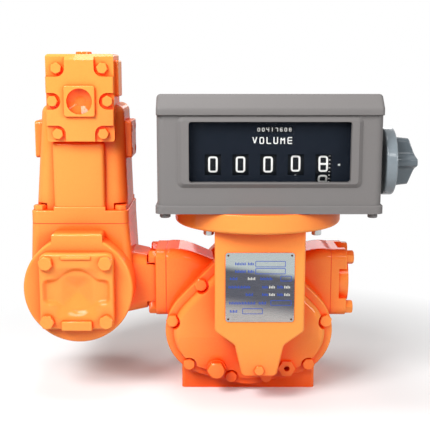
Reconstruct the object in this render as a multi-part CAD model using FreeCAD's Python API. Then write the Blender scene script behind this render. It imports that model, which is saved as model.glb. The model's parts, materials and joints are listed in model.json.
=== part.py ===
import FreeCAD, Part
import cmath
import collections
import math
import os

# Positive displacement flow meter with strainer, air eliminator and resettable counter.
# Millimetres. +X runs from the inlet side to the outlet side, +Y away from the reader, +Z up.
# The origin is the middle of the foot's underside.

os.makedirs("parts", exist_ok=True)

V = FreeCAD.Vector
X_AXIS = V(1, 0, 0)
Y_AXIS = V(0, 1, 0)
Z_AXIS = V(0, 0, 1)
# The axis a slab is carried along, then the two axes its outline lies on.
PLANES = {
    "x": (X_AXIS, Y_AXIS, Z_AXIS),
    "y": (Y_AXIS, X_AXIS, Z_AXIS),
    "z": (Z_AXIS, X_AXIS, Y_AXIS),
}
Bolt = collections.namedtuple("Bolt", "flats head shank length")

# Clearances and seals
running_gap = 0.3
bolt_gap = 0.25
seat_gap = 0.05
spanner_gap = 1.0
gasket = 1.0

# Soft edges of castings
edge_round = 1.5
rim_round = 2.0
front_round = 2.8
pad_corner = 6.0
block_corner = 4.0
plate_corner = 3.0

# Meter body: three rotor axes along Y
housing_length = 88.0
rotor_spread = 41.0
rotor_height = 73.0
blocking_height = 115.0
sump_height = 62.0
flange_radius = 54.0
flange_thickness = 12.0
barrel_radius = 46.0
bearing_plate_radius = 40.0
bearing_plate = 10.0
foot_width = 154.0
foot_depth = 84.0
foot_height = 31.0
foot_hole_radius = 4.25
foot_hole_depth = 16.0
foot_hole_spacing_x = 120.0
foot_hole_spacing_y = 56.0
pad_rise = 3.0
pad_half_x = 36.0
pad_half_y = 34.0

# Side ports
port_height = 122.5
port_face = 94.5
port_half = 39.0
port_half_y = 35.0
port_corner = 11.0
port_bore = 20.0
port_thread = 23.0
port_bolt_half = 29.5
port_bolt_half_y = 25.5
neck_knee_x = 64.0
neck_knee_y = 33.0
neck_knee_z = 35.5
neck_waist_x = 37.0
neck_waist_y = 30.0
neck_waist_z = 25.0
outlet_plate = 9.0
outlet_flange_thickness = 18.0
outlet_notch_half = 17.5
outlet_notch_depth = 8.0
outlet_hub = 31.5
outlet_hub_length = 2.5

# Covers
cover_flange = 10.0
cover_dome = 11.0
cover_rim = 9.0
dome_round = 8.0
dome_fold_height = 68.0
dome_fall = 8.0
gear_pocket = 13.0
cover_bolt_inset = 6.6
cover_bolt_side = 15.0
cover_bolt_low = -55.0
cover_bolt_sump = -65.0
bolt_pocket = 9.0
gauge_port_x = 43.0
gauge_port_z = 31.0
gauge_boss_flats = 17.0
gauge_hole = 3.2
gauge_hole_depth = 12.0
drain_x = -36.8
drain_z = 31.0
drain_boss = 11.0
drain_boss_rise = 1.0
drain_plug_flats = 18.0
drain_plug_head = 7.0
drain_plug_shank = 6.5
drain_plug_length = 12.0

# Rotors and gears
displacement_tip = 38.0
displacement_hub = 20.8
blade_half = 9.0
chamber_gap = 0.5
pocket_centre_out = 3.6
pocket_gap = 1.5
rotor_shaft = 7.0
bush_wall = 3.0
timing_teeth = 20
timing_width = 9.0
drive_teeth = 14
drive_radius = 14.0
drive_width = 8.0
drive_offset = 10.0
tooth_tip = 0.9
tooth_root = 1.15
tip_share = 0.10
root_share = 0.30
bevel_teeth = 12
bevel_radius = 9.0
bevel_inner = 0.6
packing_shaft_radius = 4.0
gland_radius = 7.0
gland_length = 3.5
gland_chamfer = 1.5
drive_shaft_radius = 3.5
bevel_gap = 0.5
drive_shaft_rise = 15.0

# Dust cover and nameplate
dust_depth = 29.0
dust_wall = 3.0
dust_half = 49.0
dust_shoulder_z = 84.0
dust_neck_half = 27.0
dust_neck_z = 68.0
dust_foot_half = 19.0
dust_foot_z = 32.0
dust_round = 6.0
dust_screw_z = 40.0
dust_post = 4.5
nameplate_width = 74.5
nameplate_height = 77.0
nameplate_thickness = 1.0
nameplate_z = 134.0
nameplate_corner = 3.0

# Counter adapter
adapter_y = -25.0
adapter_radius = 94.0
adapter_thickness = 21.0
adapter_round = 4.0
adapter_wall = 9.0
adapter_bolt_circle = 82.5
adapter_bolt_x = 13.0
column_half_x = 28.0
column_half_y = 28.0
column_foot = 8.0
column_bolt_half = 26.0
column_height = 24.0

# Counter
counter_x = 18.4
case_half = 117.8
case_front = -108.0
case_depth = 150.0
case_wall = 4.0
case_corner = 8.0
case_height = 103.0
case_flange = 9.0
case_flange_out = 2.0
case_screw_inset = 8.0
lid_overhang = 0.2
lid_front_out = 4.0
lid_lip = 6.0
lid_rise = 11.4
lid_slope = 10.0
lid_back_slope = 9.0
lid_round = 3.5
bezel_half_x = 96.3
bezel_half_z = 37.5
bezel_rise = 65.0
bezel_proud = 4.0
bezel_slope = 4.5
bezel_width = 6.0
bezel_corner = 6.0
glass_thickness = 3.0
glass_lap = 2.0
face_thickness = 1.5
face_gap = 0.5
wheel_face_gap = 1.0
wheel_axis_rise = 51.0
wheel_radius = 33.0
wheel_width = 24.0
wheel_pitch = 29.0
wheel_rim = 4.0
wheel_dish = 8.0
wheel_middle_x = 17.2
wheel_count = 5
figure_window_half_x = 8.5
figure_window_up = 11.0
figure_window_down = 11.0
last_window_down = 23.0
reset_shaft_radius = 4.0
chassis_half = 84.0
chassis_plate = 3.0
chassis_depth = 66.0
chassis_height = 75.0
total_wheel_radius = 8.0
total_wheel_width = 4.2
total_wheel_pitch = 4.7
total_wheel_count = 8
total_shaft_radius = 1.5
total_axis_rise = 87.7
total_middle_x = 23.5
total_window_half_z = 2.8
total_lug = 2.0
total_lug_half_z = 4.0
knob_gap = 5.6
knob_radius = 36.5
knob_disc = 12.0
knob_round = 2.5
knob_grip_half_z = 27.0
knob_grip_end_y = 6.0
knob_grip_half_y = 8.0
knob_grip_root_z = 11.0
knob_grip_side = 17.0
knob_grip_reach = 25.0
knob_ridge_half = 4.2
knob_ridge_y = 16.0
knob_bore_depth = 14.0

# Strainer
strainer_x = -191.0
strainer_lift = 2.5
strainer_radius = 61.0
strainer_front = -70.0
strainer_back = 58.0
strainer_bore = 38.5
strainer_floor = 12.0
strainer_box_half_x = 55.0
strainer_box_low_half_x = 58.5
strainer_box_half_y = 51.0
strainer_box_y = 6.0
strainer_box_corner = 9.0
strainer_rise = 69.6
strainer_ledge_half = 28.0
strainer_ledge_rise = 63.0
strainer_flange = 12.0
strainer_neck_start = 38.0
strainer_neck_wide_y = 34.0
strainer_neck_wide_z = 39.0
strainer_neck_half_y = 30.0
strainer_neck_half_z = 27.0
strainer_neck_corner = 12.0
inlet_flange_thickness = 12.0
strainer_cover_half_x = 41.0
strainer_cover_half_z = 43.0
strainer_cover_corner = 10.0
strainer_cover_plate = 11.0
strainer_cover_round = 3.0
strainer_dish_radius = 37.0
strainer_dish_depth = 8.0
strainer_bolt_half_x = 32.5
strainer_bolt_half_z = 33.0
strainer_bolt_pad = 19.0
strainer_lug_half = 17.0
strainer_lug_height = 9.0
strainer_lug_out = 5.0
basket_radius = 33.0
basket_wall = 1.5
basket_length = 100.0
basket_rim = 3.0
basket_hole = 6.0
basket_holes_round = 8
basket_hole_rows = 3

# Air eliminator
tower_flange = 14.2
tower_corner = 14.0
tower_shift = 0.7
tower_half_x = 52.8
tower_half_y = 45.0
tower_y = 8.0
tower_top_half_x = 46.0
tower_top_half_y = 42.0
tower_height = 132.4
tower_lean = 3.8
tower_shoulder = 10.0
tower_bore = 34.0
tower_roof = 10.0
tower_bolt_half_x = 46.0
tower_bolt_half_y = 42.0
panel_half = 29.0
panel_front = 43.5
panel_round = 5.0
plinth_rise = 4.5
head_offset = 5.0
head_half_x = 37.0
head_bottom_rise = 92.4
head_height = 95.0
head_front = 55.0
head_thickness = 14.0
head_bevel = 6.5
head_bevel_depth = 7.0
head_block_back = 16.0
head_chamber_half = 14.0
head_bolt_up = 35.5
head_bolt_out = 25.0
head_bolt_mid_out = 30.0
head_pocket = 9.0
head_pocket_depth = 4.0
head_overhang = 1.0
vent_boss_half = 17.0
vent_boss_rise = 4.0
vent_hole = 14.0
vent_hole_depth = 7.0
vent_hole_floor = 6.0
vent_hole_cone = 3.0
head_plug_radius = 8.9
head_plug_rise = 3.0
head_plug_shank = 5.0
head_plug_y = -16.0
side_plate_thickness = 5.0
side_plate_half_y = 17.0
side_plate_half_z = 20.0
side_cover_half_y = 26.0
side_cover_y = 5.0
side_cover_half_z = 21.0
side_cover_rise = 92.4
side_cover_thickness = 8.0
side_cover_sink = 1.0
side_screw_sink = 3.0
side_cover_screw_y = 18.0
side_cover_screw_z = 13.0
float_radius = 29.0
float_height = 58.0
float_round = 6.0
float_bar = 2.0
float_bar_lap = 4.0
float_lift = 42.0
float_rod_radius = 3.0
vent_seat_half = 10.0
vent_seat_thickness = 4.0
vent_seat_hole = 3.0

# Bolts: width over flats, head height, shank radius, shank length
cover_bolt = Bolt(12.7, 5.5, 4.0, 19.0)
port_bolt = Bolt(14.3, 8.0, 4.8, 29.0)
strainer_bolt = Bolt(14.3, 6.5, 4.8, 23.0)
tower_bolt = Bolt(12.7, 5.5, 4.0, 24.0)
head_bolt = Bolt(11.1, 5.0, 3.2, 18.0)
adapter_bolt = Bolt(10.0, 6.0, 3.0, 23.0)
column_bolt = Bolt(10.0, 5.0, 3.0, 14.0)
case_screw = Bolt(10.0, 5.0, 3.0, 8.0)
side_screw = Bolt(8.0, 3.5, 2.5, 8.0)
dust_screw = Bolt(10.0, 3.0, 2.5, 9.0)

# Values worked out from the driving dimensions
half_length = housing_length / 2
chamber_half = half_length - bearing_plate
cover_back = half_length + gasket
cover_rim_face = cover_back + cover_flange
cover_face = cover_rim_face + cover_dome
rotor_distance = math.hypot(rotor_spread, blocking_height - rotor_height)
blocking_radius = rotor_distance - displacement_hub - chamber_gap
rotor_half = chamber_half - running_gap
pocket_reach = blocking_radius + pocket_centre_out
pad_height = max(blocking_height + flange_radius, port_height + port_half) + pad_rise
counter_base = pad_height + column_height + adapter_thickness
packing_height = blocking_height + math.sqrt((2 * drive_radius) ** 2 - drive_offset ** 2)
middle_x = drive_offset
dust_front = cover_face + dust_depth
dust_inner = dust_front - dust_wall
drive_shaft_y = -cover_face - gland_length - bevel_gap - bevel_radius
drive_shaft_top = counter_base + drive_shaft_rise
adapter_bottom = counter_base - adapter_thickness
case_top = counter_base + case_height
lid_top = case_top + lid_lip + lid_rise
case_back = case_front + case_depth
case_middle_y = case_front + case_depth / 2
case_right = counter_x + case_half
glass_front = case_front + case_wall
face_front = glass_front + glass_thickness + face_gap
face_back = face_front + face_thickness
wheel_axis_y = face_back + wheel_face_gap + wheel_radius
wheel_axis_z = counter_base + wheel_axis_rise
bezel_z = counter_base + bezel_rise
chassis_top = counter_base + case_wall + chassis_height
total_axis_y = face_back + total_wheel_radius + running_gap
total_axis_z = counter_base + total_axis_rise
strainer_face = port_face + gasket
outlet_face = strainer_face + outlet_flange_thickness
strainer_height = port_height + strainer_lift
strainer_top = strainer_height + strainer_rise
strainer_ledge_top = strainer_height + strainer_ledge_rise
tower_base = strainer_top + gasket
tower_top = tower_base + tower_height
tower_body_base = tower_base + tower_flange
head_x = strainer_x + head_offset
head_bottom = tower_base + head_bottom_rise
head_top = head_bottom + head_height
head_middle_z = head_bottom + (head_height - head_bevel) / 2
side_cover_z = tower_base + side_cover_rise
side_cover_share = side_cover_rise / tower_height
head_back = head_front - head_thickness
block_front = head_back - gasket


def box(x, y, z):
    """Block between two values on each axis."""
    return Part.makeBox(x[1] - x[0], y[1] - y[0], z[1] - z[0], V(x[0], y[0], z[0]))


def rod(radius, start, end):
    """Round bar from one point to another."""
    run = end - start
    return Part.makeCylinder(radius, run.Length, start, run)


def rod_y(radius, x, z, y):
    """Round bar along Y at one place, between two values of Y."""
    return rod(radius, V(x, y[0], z), V(x, y[1], z))


def rounded_outline(axis, place, middle, halves, corner):
    """Wire of a rectangle with round corners, square to an axis."""
    along, first, second = PLANES[axis]
    centre = along * place + first * middle[0] + second * middle[1]
    reach = first * (halves[0] - corner)
    rise = second * (halves[1] - corner)
    points = [centre + reach + rise, centre - reach + rise, centre - reach - rise, centre + reach - rise]
    return Part.makePolygon(points + points[:1]).makeOffset2D(corner)


def slab(axis, span, middle, halves, corner):
    """Rounded rectangle carried along an axis over a span."""
    face = Part.Face(rounded_outline(axis, span[0], middle, halves, corner))
    return face.extrude(PLANES[axis][0] * (span[1] - span[0]))


def shield(radius, y):
    """The meter's outline: lines and arcs at one distance round the rotor axes and the sump."""
    axes = [(0, blocking_height), (rotor_spread, rotor_height), (0, sump_height), (-rotor_spread, rotor_height)]
    points = [V(x, y[0], z) for x, z in axes]
    outline = Part.makePolygon(points + points[:1]).makeOffset2D(radius)
    return Part.Face(outline).extrude(Y_AXIS * (y[1] - y[0]))


def round_edges(shape, radius, chosen):
    """Fillet the edges whose middle passes a test."""
    return shape.makeFillet(radius, [edge for edge in shape.Edges if chosen(edge.CenterOfMass)])


def hex_prism(flats, height, seat, way):
    """Hexagon standing on a seat along a direction."""
    corner = flats / math.sqrt(3)
    points = [V(corner * math.cos(k * math.pi / 3), corner * math.sin(k * math.pi / 3), 0) for k in range(7)]
    prism = Part.Face(Part.makePolygon(points)).extrude(Z_AXIS * height)
    prism.Placement = FreeCAD.Placement(seat, FreeCAD.Rotation(Z_AXIS, way))
    return prism


def spanner_room(size, seat, way):
    """Round pocket that leaves room for a spanner on a bolt's head."""
    return rod(size.flats / math.sqrt(3) + spanner_gap, seat, seat + way * (size.head + 2 * spanner_gap))


def hex_bolt(size, seat, way):
    """Hexagon bolt: head standing out of its seat along a direction, shank going in."""
    head = hex_prism(size.flats, size.head, seat, way)
    return head.fuse(rod(size.shank, seat, seat - way * size.length))


def bolt_hole(size, seat, way):
    """Hole for a bolt, with room past its end."""
    return rod(size.shank + bolt_gap, seat + way, seat - way * (size.length + 1))


def corner_places(half_u, half_v):
    """The four corners of a bolt pattern."""
    return [(u, v) for u in (-half_u, half_u) for v in (-half_v, half_v)]


def gear_outline(teeth, radius, turn, centre, first, second, scale):
    """Wire of a gear with straight-sided teeth that narrow towards their tips."""
    module = 2 * radius / teeth
    root = (radius - tooth_root * module) * scale
    tip = (radius + tooth_tip * module) * scale
    step = 2 * math.pi / teeth
    points = []
    for tooth in range(teeth):
        for reach, share in ((root, -root_share), (tip, -tip_share), (tip, tip_share), (root, root_share)):
            angle = turn + (tooth + share) * step
            points.append(centre + first * (reach * math.cos(angle)) + second * (reach * math.sin(angle)))
    return Part.makePolygon(points + points[:1])


def spur_gear(teeth, radius, turn, x, z, y):
    """Gear on an axis along Y."""
    outline = gear_outline(teeth, radius, turn, V(x, y[0], z), X_AXIS, Z_AXIS, 1)
    return Part.Face(outline).extrude(Y_AXIS * (y[1] - y[0]))


def bevel_gear(turn, apex, along, first, second):
    """Bevel gear on a 45 degree cone, between its large end and its small end."""
    ends = []
    for scale in (1, bevel_inner):
        centre = apex + along * (bevel_radius * scale)
        ends.append(gear_outline(bevel_teeth, bevel_radius, turn, centre, first, second, scale))
    return Part.makeLoft(ends, True, True)


def mesh_turn(turn, line, teeth):
    """Turn that sets a gear's gap against the tooth of the gear that it meets along a line."""
    return 2 * line + math.pi - turn + math.pi / teeth


def save(name, shapes):
    """Write one node, of one solid or a group of like solids."""
    Part.makeCompound(shapes).exportStep("parts/" + name + ".step")


def cover_bolt_places():
    """Bolts inside the rim of the meter's covers, mirrored left and right, and one at the top."""
    ring = flange_radius - cover_bolt_inset
    flank_x = rotor_spread / 2 + ring * (blocking_height - rotor_height) / rotor_distance
    flank_z = (blocking_height + rotor_height) / 2 + ring * rotor_spread / rotor_distance
    side = math.radians(cover_bolt_side)
    low = math.radians(cover_bolt_low)
    sump = math.radians(cover_bolt_sump)
    half = [
        (flank_x, flank_z),
        (rotor_spread + ring * math.cos(side), rotor_height + ring * math.sin(side)),
        (rotor_spread + ring * math.cos(low), rotor_height + ring * math.sin(low)),
        (ring * math.cos(sump), sump_height + ring * math.sin(sump)),
    ]
    return half + [(-x, z) for x, z in half] + [(0, blocking_height + ring)]


def meter_housing():
    """Casting with two flanged ends, a foot, a pad on top and a square neck to each side port."""
    body = shield(barrel_radius, (-half_length, half_length))
    ends = []
    for side in (-1, 1):
        inner = side * (half_length - flange_thickness)
        end = shield(flange_radius, sorted((inner, side * half_length)))
        ends.append(round_edges(end, edge_round, lambda middle: abs(middle.y - inner) < seat_gap))
    foot = slab("z", (0, foot_height), (0, 0), (foot_width / 2, foot_depth / 2), block_corner)
    foot = round_edges(foot, edge_round, lambda middle: abs(middle.z - foot_height) < seat_gap)
    pad = slab("z", (blocking_height, pad_height), (middle_x, 0), (pad_half_x, pad_half_y), pad_corner)
    necks = []
    for side in (-1, 1):
        stations = [
            (0, neck_waist_y, neck_waist_z),
            (neck_waist_x, neck_waist_y, neck_waist_z),
            (neck_knee_x, neck_knee_y, neck_knee_z),
            (port_face, port_half_y, port_half),
        ]
        middle = (0, port_height)
        outlines = [rounded_outline("x", side * x, middle, (y, z), port_corner) for x, y, z in stations]
        necks.append(Part.makeLoft(outlines, True, False))
    body = body.fuse(ends + necks + [foot, pad])
    cuts = [rod_y(blocking_radius + chamber_gap, 0, blocking_height, (-chamber_half, chamber_half))]
    for side in (-1, 1):
        tip = displacement_tip + chamber_gap
        cuts.append(rod_y(tip, side * rotor_spread, rotor_height, (-chamber_half, chamber_half)))
        span = sorted((side * chamber_half, side * half_length))
        cuts.append(shield(bearing_plate_radius, span))
        cuts.append(rod(port_bore, V(0, 0, port_height), V(side * port_face, 0, port_height)))
        for x, z in cover_bolt_places():
            cuts.append(bolt_hole(cover_bolt, V(x, side * cover_rim_face, z), V(0, side, 0)))
        for y, z in corner_places(port_bolt_half_y, port_bolt_half):
            seat = V(side * port_seat(side), y, port_height + z)
            cuts.append(bolt_hole(port_bolt, seat, V(side, 0, 0)))
    for x, y in corner_places(foot_hole_spacing_x / 2, foot_hole_spacing_y / 2):
        cuts.append(rod(foot_hole_radius, V(x, y, 0), V(x, y, foot_hole_depth)))
    for x, y in corner_places(column_bolt_half, column_bolt_half):
        cuts.append(bolt_hole(column_bolt, V(middle_x + x, y, pad_height + column_foot), Z_AXIS))
    return body.cut(cuts)


def port_seat(side):
    """Where the heads of the port bolts sit: the strainer's flange on the left, the outlet's on the right."""
    if side < 0:
        return strainer_face + strainer_flange
    return outlet_face


def domed_cover(side):
    """Cover with a flat bolted rim and a raised middle with round edges."""
    rim = shield(flange_radius, sorted((side * cover_back, side * cover_rim_face)))
    rim = round_edges(rim, rim_round, lambda middle: abs(middle.y - side * cover_rim_face) < seat_gap)
    dome = shield(flange_radius - cover_rim, sorted((side * cover_back, side * cover_face)))
    dome = round_edges(dome, dome_round, lambda middle: abs(middle.y - side * cover_face) < seat_gap)
    cover = rim.fuse(dome)
    cuts = []
    for x, z in cover_bolt_places():
        cuts.append(rod_y(bolt_pocket, x, z, sorted((side * cover_rim_face, side * (cover_face + 1)))))
        cuts.append(bolt_hole(cover_bolt, V(x, side * cover_rim_face, z), V(0, side, 0)))
    return cover.cut(cuts)


def front_cover():
    """Front cover: the lower face falls away, with a drain boss, a gauge port and the dust cover's post."""
    cover = domed_cover(-1)
    fold = [
        V(-2 * flange_radius, -cover_face, dome_fold_height),
        V(-2 * flange_radius, -cover_face - 1, dome_fold_height),
        V(-2 * flange_radius, -cover_face - 1, 0),
        V(-2 * flange_radius, dome_fall - cover_face, 0),
    ]
    wedge = Part.Face(Part.makePolygon(fold + fold[:1])).extrude(X_AXIS * (4 * flange_radius))
    cover = cover.cut(wedge)
    boss_back = -cover_rim_face + cover_flange / 2
    gauge_seat = V(gauge_port_x, boss_back, gauge_port_z)
    drain_face = -cover_face - drain_boss_rise
    bosses = [
        rod_y(drain_boss, drain_x, drain_z, (drain_face, boss_back)),
        hex_prism(gauge_boss_flats, cover_face + boss_back, gauge_seat, -Y_AXIS),
        rod_y(dust_post, middle_x, dust_screw_z, (-dust_inner, boss_back)),
    ]
    cover = cover.fuse(bosses)
    pocket = (-cover_back - gear_pocket, -cover_back)
    pocket_radius = drive_radius + tooth_tip * 2 * drive_radius / drive_teeth + 1.5
    cuts = [
        rod_y(pocket_radius, 0, blocking_height, pocket),
        rod_y(pocket_radius, middle_x, packing_height, pocket),
        rod_y(packing_shaft_radius + running_gap, middle_x, packing_height, (-cover_face - 1, -cover_back)),
        rod_y(gauge_hole, gauge_port_x, gauge_port_z, (-cover_face, -cover_face + gauge_hole_depth)),
        rod_y(drain_plug_shank + bolt_gap, drain_x, drain_z, (drain_face, drain_face + drain_plug_length + 1)),
        bolt_hole(dust_screw, V(middle_x, -dust_front, dust_screw_z), -Y_AXIS),
    ]
    return cover.cut(cuts)


def rear_cover():
    """Rear cover, hollow over the three timing gears."""
    pocket_radius = rotor_distance / 2 + tooth_tip * rotor_distance / timing_teeth + 1.5
    pocket = (cover_back, cover_back + gear_pocket)
    cuts = [rod_y(pocket_radius, 0, blocking_height, pocket)]
    for side in (-1, 1):
        cuts.append(rod_y(pocket_radius, side * rotor_spread, rotor_height, pocket))
    return domed_cover(1).cut(cuts)


def cover_gasket(side):
    """Sheet between a cover and the housing, open over the bearing plate."""
    span = sorted((side * half_length, side * cover_back))
    sheet = shield(flange_radius, span)
    cuts = [shield(bearing_plate_radius, span)]
    for x, z in cover_bolt_places():
        cuts.append(bolt_hole(cover_bolt, V(x, side * cover_rim_face, z), V(0, side, 0)))
    return sheet.cut(cuts)


def rotor_places():
    """The three rotor axes."""
    return [(0, blocking_height), (-rotor_spread, rotor_height), (rotor_spread, rotor_height)]


def bearing_plate_solid(side):
    """Plate in the end of the housing that carries the three rotors."""
    plate = shield(bearing_plate_radius - seat_gap, sorted((side * chamber_half, side * half_length)))
    seat = rotor_shaft + running_gap + bush_wall + seat_gap
    cuts = [rod_y(seat, x, z, (-half_length, half_length)) for x, z in rotor_places()]
    return plate.cut(cuts)


def rotor_bush(x, z, side):
    """Plain bush for one end of a rotor shaft."""
    span = sorted((side * chamber_half, side * half_length))
    inner = rotor_shaft + running_gap
    return rod_y(inner + bush_wall, x, z, span).cut(rod_y(inner, x, z, span))


def rotor_line(side):
    """Angle of the line from the blocking rotor's axis to a displacement rotor's axis."""
    return math.atan2(rotor_height - blocking_height, side * rotor_spread)


def turned(shape, angle):
    """Turn a shape about the Y axis, from X towards Z."""
    shape.rotate(V(0, 0, 0), -Y_AXIS, math.degrees(angle))
    return shape


def blade_passage():
    """Farthest that a blade's sides reach from a pocket's centre while the blade is inside the drum.

    Seen from the drum, the blade's axis circles at the rotor distance and the blade turns twice as fast.
    """
    farthest = 0
    length = math.sqrt(displacement_tip ** 2 - blade_half ** 2)
    for degree in range(-90, 91):
        turn = cmath.rect(1, math.radians(degree))
        for share in range(11):
            along = displacement_hub + (length - displacement_hub) * share / 10
            for across in (-blade_half, blade_half):
                point = rotor_distance * turn - complex(along, across) * turn ** 2
                if abs(point) < blocking_radius:
                    farthest = max(farthest, abs(point - pocket_reach))
    return farthest


def blocking_rotor():
    """Drum with two round pockets that let the blades of the other rotors pass."""
    drum = rod_y(blocking_radius, 0, 0, (-rotor_half, rotor_half))
    pocket = blade_passage() + pocket_gap
    for side in (-1, 1):
        drum = drum.cut(rod_y(pocket, side * pocket_reach, 0, (-rotor_half, rotor_half)))
    shaft = rod_y(rotor_shaft, 0, 0, (-cover_back - drive_width - 2, cover_back + timing_width + 1))
    rotor = drum.fuse(shaft)
    rotor.translate(V(0, 0, blocking_height))
    return rotor


def displacement_rotor(side):
    """Hub with two opposite blades, timed to the pockets of the blocking rotor."""
    hub = rod_y(displacement_hub, 0, 0, (-rotor_half, rotor_half))
    sweep = rod_y(displacement_tip, 0, 0, (-rotor_half, rotor_half))
    reach = (-displacement_tip, displacement_tip)
    blades = box(reach, (-rotor_half, rotor_half), (-blade_half, blade_half)).common(sweep)
    shaft = rod_y(rotor_shaft, 0, 0, (-half_length, cover_back + timing_width + 1))
    rotor = turned(hub.fuse([blades, shaft]), 2 * rotor_line(side))
    rotor.translate(V(side * rotor_spread, 0, rotor_height))
    return rotor


def timing_gear(x, z, turn):
    """One of the three equal gears that keep the rotors in step."""
    span = (cover_back + 1, cover_back + 1 + timing_width)
    gear = spur_gear(timing_teeth, rotor_distance / 2, turn, x, z, span)
    return gear.cut(rod_y(rotor_shaft + seat_gap, x, z, span))


def rotor_drive_gear():
    """Gear on the front end of the blocking rotor's shaft."""
    span = (-cover_back - 1 - drive_width, -cover_back - 1)
    gear = spur_gear(drive_teeth, drive_radius, 0, 0, blocking_height, span)
    return gear.cut(rod_y(rotor_shaft + seat_gap, 0, blocking_height, span))


def packing_gland():
    """Round gland that seals the shaft where it leaves the front cover."""
    span = (-cover_face - gland_length, -cover_face)
    gland = rod_y(gland_radius, middle_x, packing_height, span)
    gland = gland.makeChamfer(gland_chamfer, [edge for edge in gland.Edges if is_front_ring(edge)])
    return gland.cut(rod_y(packing_shaft_radius + running_gap, middle_x, packing_height, span))


def is_front_ring(edge):
    """True for the round edge at the front of the gland."""
    return edge.Closed and abs(edge.CenterOfMass.y + cover_face + gland_length) < seat_gap


def bevel_apex():
    """Point where the packing shaft's axis meets the drive shaft's."""
    return V(middle_x, drive_shaft_y, packing_height)


def packing_shaft():
    """Short shaft with the driven gear at one end and a bevel gear at the other."""
    gear_back = -cover_back - 1
    front = drive_shaft_y + bevel_radius * bevel_inner
    line = math.atan2(packing_height - blocking_height, middle_x)
    shaft = rod_y(packing_shaft_radius, middle_x, packing_height, (front, gear_back))
    gear_span = (gear_back - drive_width, gear_back)
    turn = mesh_turn(0, line, drive_teeth)
    gear = spur_gear(drive_teeth, drive_radius, turn, middle_x, packing_height, gear_span)
    bevel = bevel_gear(math.pi / 2, bevel_apex(), Y_AXIS, X_AXIS, Z_AXIS)
    return shaft.fuse([gear, bevel])


def drive_shaft():
    """Upright shaft to the counter, with a bevel gear at its foot."""
    apex = bevel_apex()
    bottom = apex + Z_AXIS * (bevel_radius * bevel_inner)
    shaft = rod(drive_shaft_radius, bottom, V(middle_x, drive_shaft_y, drive_shaft_top))
    return shaft.fuse(bevel_gear(math.pi / 2 + math.pi / bevel_teeth, apex, Z_AXIS, X_AXIS, Y_AXIS))


def port_gasket(side):
    """Square gasket between a port and what is bolted to it."""
    span = sorted((side * port_face, side * strainer_face))
    sheet = slab("x", span, (0, port_height), (port_half_y, port_half), port_corner)
    cuts = [rod(port_bore, V(span[0], 0, port_height), V(span[1], 0, port_height))]
    for y, z in corner_places(port_bolt_half_y, port_bolt_half):
        cuts.append(bolt_hole(port_bolt, V(side * port_seat(side), y, port_height + z), V(side, 0, 0)))
    return sheet.cut(cuts)


def outlet_flange():
    """Companion flange: a plate with four corner bosses, a round hub and a pipe thread."""
    plate = slab("x", (strainer_face, outlet_face), (0, port_height), (port_half_y, port_half), port_corner)
    plate = round_edges(plate, edge_round, lambda middle: abs(middle.x - outlet_face) < seat_gap)
    notch_x = (strainer_face + outlet_plate, outlet_face)
    half = outlet_notch_half
    for side in (-1, 1):
        deep = sorted((side * (port_half_y - outlet_notch_depth), side * port_half_y))
        plate = plate.cut(box(notch_x, deep, (port_height - half, port_height + half)))
        deep = sorted((side * (port_half - outlet_notch_depth), side * port_half))
        plate = plate.cut(box(notch_x, (-half, half), (port_height + deep[0], port_height + deep[1])))
    hub_end = outlet_face + outlet_hub_length
    hub = rod(outlet_hub, V(strainer_face, 0, port_height), V(hub_end, 0, port_height))
    flange = plate.fuse(hub)
    cuts = [rod(port_thread, V(strainer_face, 0, port_height), V(hub_end, 0, port_height))]
    for y, z in corner_places(port_bolt_half_y, port_bolt_half):
        seat = V(outlet_face, y, port_height + z)
        cuts.append(bolt_hole(port_bolt, seat, X_AXIS))
        cuts.append(rod(bolt_pocket, seat, seat + X_AXIS * (2 * outlet_hub_length)))
    return flange.cut(cuts)


def port_bolts():
    """Bolts of both ports."""
    bolts = []
    for side in (-1, 1):
        for y, z in corner_places(port_bolt_half_y, port_bolt_half):
            bolts.append(hex_bolt(port_bolt, V(side * port_seat(side), y, port_height + z), V(side, 0, 0)))
    return bolts


def dust_outline(inset, y):
    """Outline of the dust cover: wide above, with round shoulders and a tapered neck below."""
    half = [
        (dust_half, adapter_bottom),
        (dust_half, dust_shoulder_z),
        (dust_neck_half, dust_neck_z),
        (dust_foot_half, dust_foot_z),
    ]
    points = [V(middle_x + x, y, z) for x, z in half]
    points = points + [V(middle_x - x, y, z) for x, z in reversed(half)]
    wire = Part.makePolygon(points + points[:1])
    if inset:
        wire = wire.makeOffset2D(-inset)
    return Part.Face(wire)


def dust_cover():
    """Hollow front cover over the drive shaft, open behind and above."""
    shell = dust_outline(0, -dust_front).extrude(Y_AXIS * (dust_front - cover_face))
    upright = [edge for edge in shell.Edges if is_dust_corner(edge)]
    shell = shell.makeFillet(dust_round, upright)
    shell = round_edges(shell, front_round, is_dust_front)
    hollow = dust_outline(dust_wall, -dust_inner).extrude(Y_AXIS * (dust_front - cover_face))
    top = box(
        (middle_x - dust_half + dust_wall, middle_x + dust_half - dust_wall),
        (-dust_inner, 0),
        (dust_shoulder_z + dust_wall, adapter_bottom + 1),
    )
    cuts = [hollow, top, bolt_hole(dust_screw, V(middle_x, -dust_front, dust_screw_z), -Y_AXIS)]
    return shell.cut(cuts)


def is_dust_front(middle):
    """True for an edge of the dust cover's front face below its top."""
    return abs(middle.y + dust_front) < seat_gap and middle.z < adapter_bottom - 1


def is_dust_corner(edge):
    """True for the dust cover's edges along Y below its top."""
    along_y = abs(edge.tangentAt(edge.FirstParameter).y) > 0.99
    return along_y and edge.CenterOfMass.z < adapter_bottom - 1


def nameplate():
    """Thin plate on the dust cover."""
    span = (-dust_front - nameplate_thickness, -dust_front)
    halves = (nameplate_width / 2, nameplate_height / 2)
    return slab("y", span, (middle_x, nameplate_z), halves, nameplate_corner)


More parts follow.
